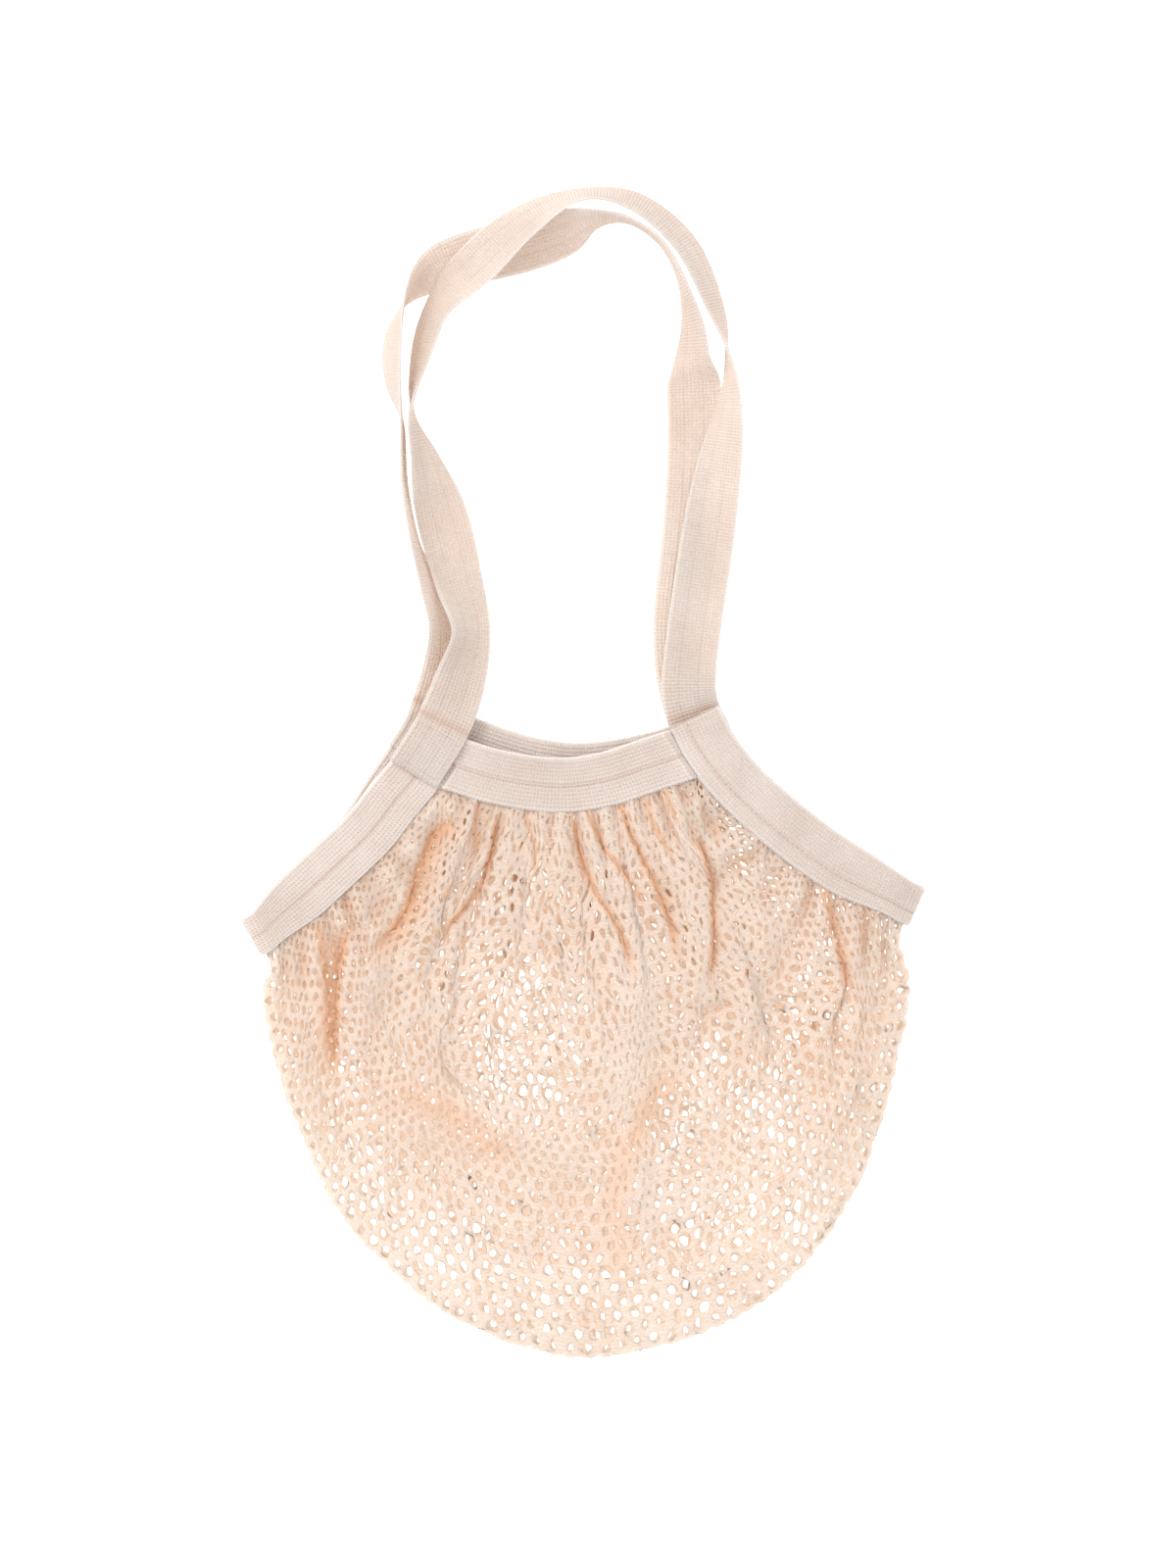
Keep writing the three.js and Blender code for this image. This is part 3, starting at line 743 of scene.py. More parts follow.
def crease_marks(flat, edge):
    """Depth of the creases at points, and the painted warm shade there."""
    deep, crease_shade = np.zeros(flat.shape[:-1]), np.zeros(flat.shape[:-1])
    for reach, depth, warm_shade, overhang, points in CREASES:
        signed, _, strength = crease_places(flat, points)
        width = np.where(signed > 0, max(reach, edge), edge if overhang else reach)
        near = bell(signed, width) * strength
        deep = np.maximum(deep, depth * near)
        crease_shade = np.maximum(crease_shade, warm_shade * near)
    return deep, crease_shade


def hang_over(flat):
    """How far points move when the cloth beside each crease laps over it, in plan and in height."""
    moves, rise = np.zeros(flat.shape), np.zeros(flat.shape[:-1])
    for *_, overhang, points in CREASES:
        signed, toward, strength = crease_places(flat, points)
        size = overhang * strength ** OVERHANG_FADE
        over = size * bell(signed + OVERHANG_PLACE, OVERHANG_REACH)
        under = size * bell(signed - OVERHANG_PLACE, OVERHANG_REACH)
        moves += toward * (over - OVERHANG_DRAW * under)[..., None]
        rise += OVERHANG_RISE * (over - under)
    return moves, rise


def start_sheet():
    """The net before it is relaxed: front rows from the top, the turn at the outline, then the back rows."""
    fold = net_fold_line()
    across = np.linspace(0, 1, SHEET_COLUMNS + 1)
    down = np.linspace(0, 1, PANEL_ROWS)
    front_panel, back_panel = net_panel("front"), net_panel("back")
    front = panel_points(front_panel, fold, across, down)
    back = panel_points(back_panel, fold, across, down)
    front_reach = distance_to_tape(front_panel, front)
    back_reach = distance_to_tape(back_panel, back)

    loft = LOFT * np.sin(np.pi * down)[:, None] ** LOFT_FULLNESS
    front_height = FRONT_LEVEL + PUFF * smooth(front_reach, *PUFF_REACH)
    front_height = front_height + smooth(front_reach, *LOFT_REACH) * loft + gathers(front)
    lying = np.minimum(1, smooth(back_reach, *LOFT_REACH) * BACK_DROP)
    lying = lying * smooth(1 - down, 0, BACK_TURN)[:, None]
    back_height = BACK_LEVEL + (NET_WALL - BACK_LEVEL) * lying

    turn = fold.at(across) - left_of(fold.run(across)) * FOLD_RADIUS
    sheet = np.concatenate([
        with_height(front, front_height),
        with_height(turn, FOLD_HEIGHT)[None],
        with_height(back, back_height)[::-1],
    ])
    reach = np.concatenate([front_reach, np.full((1, SHEET_COLUMNS + 1), FAR), back_reach[::-1]])
    return sheet, reach


def pleat_turn(columns):
    """Angle in the row of pleats under the top binding: half a turn is the bottom of a pleat."""
    return math.tau * columns * TOP_PLEATS / SHEET_COLUMNS + sway(columns, *TOP_PLEAT_SWAY)


def gathers(front):
    """Height of the pleats of the front net under its top binding and beside its side bindings."""
    columns = np.arange(SHEET_COLUMNS + 1)
    rows = np.arange(PANEL_ROWS)
    from_top = np.linalg.norm(front - front[:1], axis=-1)
    strength = TOP_PLEAT_SHARE + sway(columns, *TOP_PLEAT_CHANGE)
    fade = smooth(from_top, *TOP_PLEAT_GROWTH) * (1 - smooth(from_top, *TOP_PLEAT_FADE))
    height = TOP_PLEAT_HEIGHT * (strength * np.cos(pleat_turn(columns)))[None] * fade
    turn = math.tau * rows * SIDE_PLEATS / PANEL_ROWS + sway(rows, *SIDE_PLEAT_SWAY)
    for edge in (front[:, :1], front[:, -1:]):
        from_side = np.linalg.norm(front - edge, axis=-1)
        fade = smooth(from_side, *SIDE_PLEAT_GROWTH) * (1 - smooth(from_side, *SIDE_PLEAT_FADE))
        height = height + SIDE_PLEAT_HEIGHT * np.cos(turn)[:, None] * fade
    return height


def height_limits(reach, is_front):
    """Lowest and highest places of the points of the net."""
    level = np.where(is_front, FRONT_LEVEL, BACK_LEVEL)
    swing = EDGE_SWING + NET_SLOPE * np.maximum(0, reach - SEAM_DEPTH)
    low = np.maximum(level - swing, np.where(is_front, FRONT_HEIGHTS[0], BACK_HEIGHTS[0]))
    high = np.minimum(level + swing, np.where(is_front, FRONT_HEIGHTS[1], BACK_HEIGHTS[1]))
    low[PANEL_ROWS], high[PANEL_ROWS] = FOLD_HEIGHT - TURN_SWING, FOLD_HEIGHT + TURN_SWING
    low[PANEL_ROWS - 2:PANEL_ROWS] = TURN_FRONT_LOWEST
    high[PANEL_ROWS + 1:PANEL_ROWS + 3] = TURN_BACK_HIGHEST
    return low, high


def spring_links(rows, columns):
    """Springs between sets of points: the two sets, least, longest and resting length, and pull to rest."""
    every_row, every_column = np.arange(rows), np.arange(columns)
    links = []
    for step, least, pull in SPRINGS:
        for start in range(2 * step):
            picked = np.arange(start, columns - step, 2 * step)
            plain = CELL_WIDTH * step
            pair = (np.ix_(every_row, picked), np.ix_(every_row, picked + step))
            links.append((*pair, least * plain, LONGEST_WIDTH * plain, REST_SHARE * plain, pull))
            picked = np.arange(start, rows - step, 2 * step)
            plain = CELL_HEIGHT * step
            pair = (np.ix_(picked, every_column), np.ix_(picked + step, every_column))
            links.append((*pair, least * plain, LONGEST_HEIGHT * plain, REST_SHARE * plain, pull))
    return links


def relax(sheet, reach, chance):
    """Lets the cells of the net find their own width and height, between the bindings and the outline."""
    rows, columns = sheet.shape[:2]
    goal = sheet.copy()
    free = np.ones((rows, columns))
    free[[0, -1]] = 0
    free[:, [0, -1]] = 0
    is_front = (np.arange(rows) < PANEL_ROWS)[:, None]
    low, high = height_limits(reach, is_front)
    fold_share = smooth(reach, *FOLD_GROWTH) * is_front
    fold_share[:PANEL_ROWS] *= smooth(PANEL_ROWS - np.arange(PANEL_ROWS), 0, FOLD_END_ROWS)[:, None]
    shake = chance.normal(0, 1, sheet.shape) * SHAKE
    sheet = sheet + shake * (free * smooth(reach, *SHAKE_GROWTH))[..., None]
    size_change = 1 + SIZE_SPREAD * smoothed(chance.normal(0, 1, (rows, columns)), SIZE_PASSES)

    def hold(first, second, shortest, longest, rest, pull):
        """Brings the distances between two sets of points into a range, and part of the way to rest."""
        gap = sheet[second] - sheet[first]
        length = np.sqrt((gap**2).sum(-1)) + 1e-9
        wanted = np.clip(length, shortest, longest)
        wanted = wanted + pull * (rest * size[first] - wanted)
        share = np.maximum(free[first] + free[second], 1e-6)
        move = ((length - wanted) / length / share)[..., None] * gap
        sheet[first] += free[first][..., None] * move
        sheet[second] -= free[second][..., None] * move

    links = spring_links(rows, columns)
    outline_hold = {PANEL_ROWS: OUTLINE_PULL}
    for step in (1, 2):
        outline_hold[PANEL_ROWS - step] = outline_hold[PANEL_ROWS + step] = BESIDE_OUTLINE_PULL
    evening = (EVENING + EDGE_EVENING * (1 - smooth(reach, *EVENING_REACH))) * free
    for number in range(RELAX_ROUNDS):
        plan = sheet[..., :2]
        if number % ROUNDS_PER_READING == 0:
            rise, crowding = fold_heights(plan)
            rise = rise - crease_marks(plan, CREASE_SLOPE)[0]
            height = goal[..., 2] + rise * fold_share
            size = size_change * (1 - crowding * fold_share) * (1 + OPEN_GROWTH * openness(plan) * is_front)
        for link in links:
            hold(*link)
        plan += (neighbour_mean(plan) - plan) * evening[..., None]
        sheet[..., 2] += (height - sheet[..., 2]) * HEIGHT_PULL * free
        for row, strength in outline_hold.items():
            plan[row] += (goal[row, :, :2] - plan[row]) * strength * free[row][:, None]
        sheet[..., 2] = np.clip(sheet[..., 2], low, high)
    sheet = sheet + uneven_lie(sheet, reach, is_front, chance) * free[..., None]
    sheet[..., 2] = np.clip(sheet[..., 2], low, high)
    moves, rise = hang_over(sheet[..., :2])
    sheet[..., :2] += moves * (fold_share * free)[..., None]
    sheet[..., 2] += rise * fold_share * free
    leave_bindings(sheet)
    return sheet


def uneven_lie(sheet, reach, is_front, chance):
    """Small moves of the points of the net, where the cells have room for them."""
    draws = [smoothed(chance.normal(0, 1, reach.shape), passes) for passes in UNEVEN_PASSES]
    wide = np.linalg.norm(np.gradient(sheet, axis=1), axis=-1) / CELL_WIDTH
    tall = np.linalg.norm(np.gradient(sheet, axis=0), axis=-1) / CELL_HEIGHT
    room = smooth(np.minimum(wide, tall), *UNEVEN_SIZES) * smooth(reach, *UNEVEN_GROWTH)
    room = room * (BACK_UNEVENNESS + (1 - BACK_UNEVENNESS) * is_front)
    room = room * (1 - OPEN_EVENNESS * openness(sheet[..., :2]))
    return np.stack(draws, -1) * UNEVENNESS * room[..., None]


def leave_bindings(sheet):
    """Brings the net to the middle height of the bindings where it comes out of them."""
    front, back = slice(0, PANEL_ROWS), slice(PANEL_ROWS + 1, None)
    for rows, run, level in ((front, "front", FRONT_LEVEL), (back, "back", BACK_LEVEL)):
        away = distance_to_tape(net_panel(run), sheet[rows, :, :2]) - SEAM_DEPTH - BOUND_LENGTH
        swing = BOUND_SWING + NET_SLOPE * np.maximum(0, away)
        sheet[rows, :, 2] = np.clip(sheet[rows, :, 2], level - swing, level + swing)


def neighbour_mean(values):
    """Mean of the four neighbours on the sheet."""
    padded = np.pad(values, ((1, 1), (1, 1)) + ((0, 0),) * (values.ndim - 2), mode="edge")
    return (padded[:-2, 1:-1] + padded[2:, 1:-1] + padded[1:-1, :-2] + padded[1:-1, 2:]) / 4


def smoothed(values, passes):
    """Values blurred over the sheet."""
    for _ in range(passes):
        values = (values + neighbour_mean(values)) / 2
    return values


class Sheet:
    """The relaxed net as a smooth surface, read at places counted in columns and rows."""

    STEPS = 6

    def __init__(self, grid):
        row_places, column_places = (
            np.linspace(0, count - 1, (count - 1) * self.STEPS + 1) for count in grid.shape[:2]
        )

        def fine(table):
            return cubic(cubic(table, row_places).swapaxes(0, 1), column_places).swapaxes(0, 1)

        self.points = fine(grid)
        across, down = np.gradient(self.points, axis=1), np.gradient(self.points, axis=0)
        self.normals = unit(np.cross(down, across))
        # Height of the front net without its folds
        overall = np.full(grid.shape[:2] + (1,), -FAR)
        overall[:PANEL_ROWS + 1] = smoothed(grid[:PANEL_ROWS + 1, :, 2:], VALLEY_PASSES)
        self.overall = fine(overall)

    def read(self, table, places):
        """Values of a table of the fine points at places (..., 2): column, row."""
        limits = np.array([table.shape[1] - 1, table.shape[0] - 1])
        fine = np.clip(places * self.STEPS, 0, limits - 1e-6)
        column, row = fine.astype(int)[..., 0], fine.astype(int)[..., 1]
        part = fine - fine.astype(int)
        right, below = part[..., :1], part[..., 1:]
        upper = table[row, column] * (1 - right) + table[row, column + 1] * right
        lower = table[row + 1, column] * (1 - right) + table[row + 1, column + 1] * right
        return upper * (1 - below) + lower * below

    def at(self, places):
        return self.read(self.points, places)

    def normal(self, places):
        return unit(self.read(self.normals, places))


# Places round a cell, from its centre: columns, rows; and the angles of the same places round its hole
CELL_RIM = np.array([
    (1 / 2, 1 / 3), (1 / 4, 1 / 2), (0, 2 / 3), (-1 / 4, 1 / 2), (-1 / 2, 1 / 3),
    (-1 / 2, -1 / 3), (-1 / 4, -1 / 2), (0, -2 / 3), (1 / 4, -1 / 2), (1 / 2, -1 / 3),
])
HOLE_ANGLES = np.radians([28, 60, 90, 120, 152, 208, 240, 270, 300, 332])
# Parts of a column and of a row in which rim places are whole numbers, and the step between keys of columns
RIM_PARTS = (4, 6)
KEY_STEP = 10000
# Shares of the way from the middle of a strand to the edge of its hole, and the height of its face there
STRAND_STEPS = ((0.0, 1.0), (0.6, 0.8), (1.0, 0.0), (0.0, -1.0))


def cell_centres():
    """Centres of the holes: each row lies half a cell beside the row over it."""
    centres = []
    for row in range(1, 2 * PANEL_ROWS):
        shift = 0.5 if row % 2 == 0 else 1.0
        columns = np.arange(shift, SHEET_COLUMNS - 0.25)
        centres.append(np.stack([columns, np.full(len(columns), row)], -1))
    return np.concatenate(centres)


def hole_sizes(centres, middle, lengths, in_front, chance):
    """Half width and half height of the holes, and which of them are pulled shut."""
    open_share = openness(middle)
    crowding = np.where(in_front, FRONT_CROWDING, BACK_CROWDING) + fold_heights(middle)[1] * in_front
    crowding = crowding - open_share * np.where(in_front, FRONT_OPENING, BACK_OPENING)
    crowding = crowding + RIM_CROWDING * (1 - smooth(np.abs(centres[:, 1] - PANEL_ROWS), 0, RIM_ROWS))
    narrow = NARROW_WIDTH + (1 - NARROW_WIDTH) * np.clip(lengths / CELL_WIDTH, 0, 1)
    strand = STRAND_HALF_WIDTH * narrow * (1 + crowding[:, None])
    spread = np.exp(chance.normal(0, HOLE_SPREAD, (len(centres), 1)))
    least = np.where(in_front[:, None], FRONT_LEAST_HOLE, BACK_LEAST_HOLE)
    sizes = np.maximum((lengths * PLAIN_HOLE - strand) * spread, lengths * least)
    sizes = np.minimum(sizes, lengths * LARGEST_HOLE)
    shut_chance = SHUT_SHARE * (1 - smooth(lengths[:, 0], *SHUT_WIDTHS)) * in_front
    shut = chance.random(len(centres)) < shut_chance * (1 - open_share)
    return np.where(shut[:, None], lengths * SHUT_SIZE, sizes), shut


def strand_rims(centres, lengths, tape_gap, chance):
    """Middles of the strands round each cell in columns and rows, their keys and half thicknesses."""
    rim = centres[:, None] + CELL_RIM
    keys = np.round(rim * RIM_PARTS).astype(int)
    names, shared = np.unique(keys[..., 0] * KEY_STEP + keys[..., 1], return_inverse=True)
    shared = shared.reshape(rim.shape[:2])
    rim = rim + (chance.normal(0, 1, (len(names), 2)) * JITTER)[shared]
    thickness = STRAND_HALF_THICKNESS * (1 + chance.normal(0, THICKNESS_SPREAD, len(names)))[shared]
    thickness = thickness * np.clip(lengths[:, :1] / FULL_THICKNESS_WIDTH, NARROW_THICKNESS, 1)
    bound = BOUND_THICKNESS + (1 - BOUND_THICKNESS) * smooth(tape_gap, *BOUND_REACH)
    thickness = thickness * bound[:, None]
    # A rim place that several cells share has the mean of their thicknesses
    total, uses = np.bincount(shared.ravel(), thickness.ravel()), np.bincount(shared.ravel())
    return rim, shared, (total / uses)[shared]


def hole_edges(centres, sizes, lengths, chance):
    """Places round the edge of each hole, in columns and rows."""
    lean = HOLE_LEAN * np.where(centres[:, 1] % 2 == 0, 1, -1) + chance.normal(0, LEAN_SPREAD, len(centres))
    wobble = 1 + chance.normal(0, HOLE_WOBBLE, (len(centres), len(HOLE_ANGLES)))
    wide = sizes[:, :1] * np.cos(HOLE_ANGLES) * wobble
    tall = sizes[:, 1:] * np.sin(HOLE_ANGLES) * wobble
    cosine, sine = np.cos(lean)[:, None], np.sin(lean)[:, None]
    hole = np.stack([wide * cosine - tall * sine, wide * sine + tall * cosine], -1) / lengths[:, None]
    hole = np.clip(hole, -HOLE_LIMIT, HOLE_LIMIT)
    return hole + (centres + chance.normal(0, 1, centres.shape) * JITTER)[:, None]


def net_cells(surface, chance):
    """The cells of the net: centres, keys of the shared rims, then by ring the points (cells, rings, rim, 3),
    their painted warm shade, the painted shade on faces into the bag and their place along the net."""
    centres = cell_centres()
    in_front = centres[:, 1] <= PANEL_ROWS
    middle = surface.at(centres)[:, :2]
    gaps = [distance_to_tape(net_panel(run), middle) for run in ("front", "back")]
    tape_gap = np.where(in_front, *gaps)
    ends = [(surface.at(centres + step), surface.at(centres - step)) for step in ((0.5, 0.0), (0.0, 0.5))]
    lengths = np.stack([np.linalg.norm(ahead - behind, axis=-1) for ahead, behind in ends], -1)
    sizes, shut = hole_sizes(centres, middle, lengths, in_front, chance)
    rim, shared, thickness = strand_rims(centres, lengths, tape_gap, chance)
    hole = hole_edges(centres, sizes, lengths, chance)

    pleat_share = (PLEAT_SHARE + sway(centres[:, 0], *PLEAT_SHARE_CHANGE)) * in_front
    near_tape = GATHERED_INSIDE_SHADE + (FLAT_INSIDE_SHADE - GATHERED_INSIDE_SHADE) * smooth(tape_gap, *GATHER_REACH)
    contact_shading = CONTACT_SHADE * (1 - smooth(tape_gap, *CONTACT_SHADE_REACH))
    inside_shade_strength = np.where(in_front, FRONT_INSIDE_SHADE, BACK_INSIDE_SHADE)
    outward = np.where(in_front, 1, -1)
    rings, warm_shades, inside_shades, runs = [], [], [], []
    for share, face_height in STRAND_STEPS:
        places = rim + (hole - rim) * share
        normals = surface.normal(places)
        height = (face_height + SHUT_LIFT * shut * (face_height == 0))[:, None]
        points = surface.at(places) + normals * (thickness * height)[..., None]
        # Faces into the bag take a painted warm shade, stronger where the net is gathered
        inside_shade = np.broadcast_to((1 - height) / 2, points.shape[:2]) * near_tape[:, None]
        depth = surface.read(surface.overall, places)[..., 0] - points[..., 2]
        valley = smooth(np.where(in_front[:, None], depth, 0.0), *VALLEY_DEPTHS)
        steep = smooth(1 - normals[..., 2] * outward[:, None], *STEEPNESS)
        pleat = ((1 - np.cos(pleat_turn(places[..., 0]))) / 2) ** PLEAT_SHARPNESS
        pleat = pleat * (pleat_share * (1 - smooth(places[:, 0, 1], *PLEAT_ROWS)))[:, None]
        # Painted warm shade in valleys, on steep parts, on faces into the bag, in pleats and beside the
        # bindings
        warm_shade = VALLEY_SHADE * valley + STEEP_SHADE * steep + inside_shade_strength[:, None] * inside_shade
        warm_shade = np.maximum(warm_shade, PLEAT_SHADE * pleat)
        rings.append(points)
        warm_shades.append(np.maximum(warm_shade, contact_shading[:, None]))
        inside_shades.append(inside_shade)
        runs.append(places[..., 1] * CELL_HEIGHT)
    return centres, shared, *(np.stack(rows, 1) for rows in (rings, warm_shades, inside_shades, runs))


def net_part(cells, shared, rings, shade, inside_shades, runs):
    """Mesh of some of the cells, closed along its border."""
    count, ring_count, sides = rings[cells].shape[:3]
    names, local = np.unique(shared[cells], return_inverse=True)
    local = local.reshape(count, sides)

    def listed(values):
        """Values by ring as one list: shared rims of the outer and the inner face, then the other rings."""
        picked = values[cells]
        shape = picked.shape[3:]
        rims = np.zeros((2, len(names)) + shape)
        rims[0][local], rims[1][local] = picked[:, 0], picked[:, -1]
        return np.concatenate([rims.reshape((-1,) + shape), picked[:, 1:-1].reshape((-1,) + shape)])

    inner = np.arange(count * (ring_count - 2) * sides).reshape(count, ring_count - 2, sides) + 2 * len(names)
    index = np.concatenate([local[:, None], inner, local[:, None] + len(names)], 1)
    here, there = index[:, :-1], index[:, 1:]
    quads = np.stack([here, there, np.roll(there, -1, 2), np.roll(here, -1, 2)], -1).reshape(-1, 4)
    edges = np.stack([local, np.roll(local, -1, 1)], -1).reshape(-1, 2)
    first, uses = np.unique(np.sort(edges, 1), axis=0, return_index=True, return_counts=True)[1:]
    border = edges[first[uses == 1]]
    walls = np.stack([border[:, 0], border[:, 1], border[:, 1] + len(names), border[:, 0] + len(names)], -1)
    return {
        "points": listed(rings),
        "quads": np.concatenate([quads, walls]),
        "values": {"inside_shade": listed(inside_shades), "along": listed(runs), "shade": listed(shade)},
    }


# Tapes

def tape_face(seams):
    """Places across the face of a tape, and the height of its knit there over the plain face."""
    count = int(TAPE_WIDTH / RIB_PITCH) * 2
    places = np.linspace(-TAPE_WIDTH / 2, TAPE_WIDTH / 2, count + 1)
    relief = RIB_HEIGHT * np.cos(math.tau * places / RIB_PITCH)
    for seam in seams:
        relief = relief - SEAM_GROOVE * bell(places - seam, SEAM_HALF_WIDTH)
    return places, relief


def seam_shade(places, seam):
    """How far the painted shade along a seam shows at places across a tape."""
    return SEAM_SHADE_STRENGTH * bell(places - seam, SEAM_SHADE_WIDTH)


def rounded(share, least):
    """Thickness beside a round edge, as a share of the whole: least at the edge itself."""
    return least + (1 - least) * np.sqrt(1 - (1 - share) ** 2)


def strap_frames(rows):
    """Middle, across and through direction of a handle at close steps."""
    table = np.array(rows, float)
    last = len(rows) - 1
    places = np.linspace(0, last, last * STRAP_STEPS_PER_ROW + 1)
    path = cubic(table, places)
    tilt = np.radians(path[:, 2])
    ahead = cubic(table, np.minimum(places + STRAP_RUN_STEP, last))
    behind = cubic(table, np.maximum(places - STRAP_RUN_STEP, 0))
    run = unit(ahead[:, :2] - behind[:, :2])
    across = with_height(left_of(run) * np.cos(tilt)[:, None], np.sin(tilt))
    through = np.cross(with_height(run, 0.0), across)
    rise = TAPE_WIDTH * np.abs(np.sin(tilt)) + STRAP_THICKNESS * np.abs(np.cos(tilt))
    middle = with_height(path[:, :2], path[:, 3] + rise / 2)
    return middle, across, through


def strap_parts(rows, lap_box):
    """A handle and its length; lap_box holds the start and end of the stitched box on it, if there is one."""
    middle, across, through = strap_frames(rows)
    places, relief = tape_face(STRAP_SEAMS)
    edge = np.clip((TAPE_WIDTH / 2 - np.abs(places)) / STRAP_EDGE, 0, 1)
    height = (STRAP_THICKNESS / 2 - RIB_HEIGHT) * rounded(edge, STRAP_EDGE_THICKNESS) + relief * edge
    upper = np.stack([places, height], -1)[::-1]
    lower = np.stack([places, -height], -1)
    section = np.concatenate([upper, lower])
    rings = middle[:, None] + across[:, None] * section[None, :, :1] + through[:, None] * section[None, :, 1:]
    along = lengths_along(middle)
    seam_shading = STRAP_SEAM_SHADE * sum(seam_shade(section[:, 0], seam) for seam in STRAP_SEAMS)
    lap_shadow = LAP_SHADOW * sum(bell(along - along[-1] * (place < 0) - place, LAP_SHADOW_REACH) for place in LAP_SHADOW_PLACES)
    shade = np.maximum(seam_shading[None], lap_shadow[:, None])
    body = tube(rings, across=section[None, :, 0], along=along[:, None], shade=shade)
    box = lap_stitches(middle, across, through, along, *lap_box) if lap_box else []
    return [body] + box, along[-1]


def lap_stitches(middle, across, through, along, low, high):
    """A stitched box that holds the lapped end of a handle, between two distances from its start."""
    def on_face(distance, side):
        centre, beside, up = (
            np.stack([np.interp(distance, along, axis) for axis in rows.T], -1)
            for rows in (middle, across, through)
        )
        return centre + beside * side[:, None] + up * (STRAP_THICKNESS / 2 - THREAD_DEPTH), up

    half = TAPE_WIDTH / 2 - LAP_MARGIN
    sides = np.linspace(-half, half, LAP_STEPS)
    distances = np.linspace(low, high, LAP_STEPS)
    rows = [on_face(np.full(LAP_STEPS, distance), sides) for distance in (low, high)]
    rows += [on_face(distances, np.full(LAP_STEPS, side)) for side in (-half, half)]
    parts = []
    for path, up in rows:
        parts += stitches(path, up, *LAP_THREAD)
    return parts


def binding_section(net_side, seam):
    """Section of a folded tape: inward place, height over the middle of the slot, place across the tape."""
    places, relief = tape_face([seam])
    outer = TAPE_WIDTH / 2
    stretch = (places + outer) / TAPE_WIDTH
    inward = -outer + stretch * (net_side + outer)
    from_fold = np.clip((inward + outer) / FOLD_EDGE, 0, 1)
    from_net = np.clip((net_side - inward) / NET_EDGE, 0, 1)
    height = (BINDING_THICKNESS / 2 - RIB_HEIGHT) * rounded(from_fold, FOLD_EDGE_THICKNESS)
    height = height - NET_EDGE_DROP * (1 - from_net) ** 2 + relief * from_fold
    upper = np.stack([inward, height, places], -1)[::-1]
    lower = np.stack([inward, -height, places], -1)
    slot_end = LEAF_THICKNESS - outer
    slot = np.array([
        (net_side, -LIP / 2, outer),
        (net_side - LIP_DEPTH, -SLOT / 2, outer),
        (slot_end, -SLOT / 2, 0),
        (slot_end, SLOT / 2, 0),
        (net_side - LIP_DEPTH, SLOT / 2, outer),
        (net_side, LIP / 2, outer),
    ])
    return np.concatenate([upper, lower, slot])


def binding_parts(middles, inwards, uppers, net_sides, seam):
    """A binding swept along its middles, the stitches on both its faces, and its length."""
    rings, across = [], []
    for middle, inward, upper, net_side in zip(middles, inwards, uppers, net_sides):
        section = binding_section(net_side, seam)
        rings.append(middle + np.outer(section[:, 0], inward) + np.outer(section[:, 1], upper))
        across.append(section[:, 2])
    along = lengths_along(middles)
    shade = seam_shade(np.array(across), seam)
    # The slot walls are painted in full shade, where the net goes into the binding
    shade[:, -SLOT_CORNERS:] = 1
    parts = [tube(np.array(rings), across=np.array(across), along=along[:, None], shade=shade)]
    for face in (1, -1):
        lift = (BINDING_THICKNESS / 2 - RIB_HEIGHT - THREAD_DEPTH) * face
        parts += stitches(middles + inwards * seam + uppers * lift, uppers * face, *SEAM_THREAD)
    return parts, along[-1]


def meet_side(points, run, side, face):
    """Moves the end points of a top binding along its run, up to the edge of a side binding."""
    line = side_line(side, face)
    share = np.linspace(0, MEETING_SHARE, MEETING_STEPS)
    edge = line.at(share) + inward_from(line, share, side) * (TAPE_WIDTH / 2 + END_GAP)
    over_end = edge[0] - inward_from(line, 0.0, side) * END_LAP - line.run(0.0) * END_GAP * 2
    edge = np.vstack([over_end - line.run(0.0) * TAPE_WIDTH, over_end, edge])
    beside = left_of(run)
    order = np.argsort(edge @ beside)
    wanted = np.interp(points[:, :2] @ beside, (edge @ beside)[order], (edge @ run)[order])
    return points + with_height(np.outer(wanted - points[:, :2] @ run, run), 0.0)


def top_binding_parts(rows, face):
    level = FRONT_LEVEL if face == "front" else BACK_LEVEL
    line = Line(rows)
    share = np.linspace(0, 1, int(line.length / TAPE_STEP) + 1)
    run = line.run(share)
    slant = TOP_END_SLANT[0] + (TOP_END_SLANT[1] - TOP_END_SLANT[0]) * share
    inwards = with_height(run * slant[:, None] - left_of(run), 0.0)
    middles = with_height(line.at(share), level)
    uppers = np.tile((0.0, 0.0, 1.0), (len(share), 1))
    net_sides = np.full(len(share), TAPE_WIDTH / 2)
    parts, length = binding_parts(middles, inwards, uppers, net_sides, TOP_SEAM)
    points = parts[0]["points"]
    corners = len(points) // len(share)
    for side, end, spot in (("left", slice(0, corners), 0), ("right", slice(-corners, None), -1)):
        points[end] = meet_side(points[end], run[spot], side, face)
    return parts, length


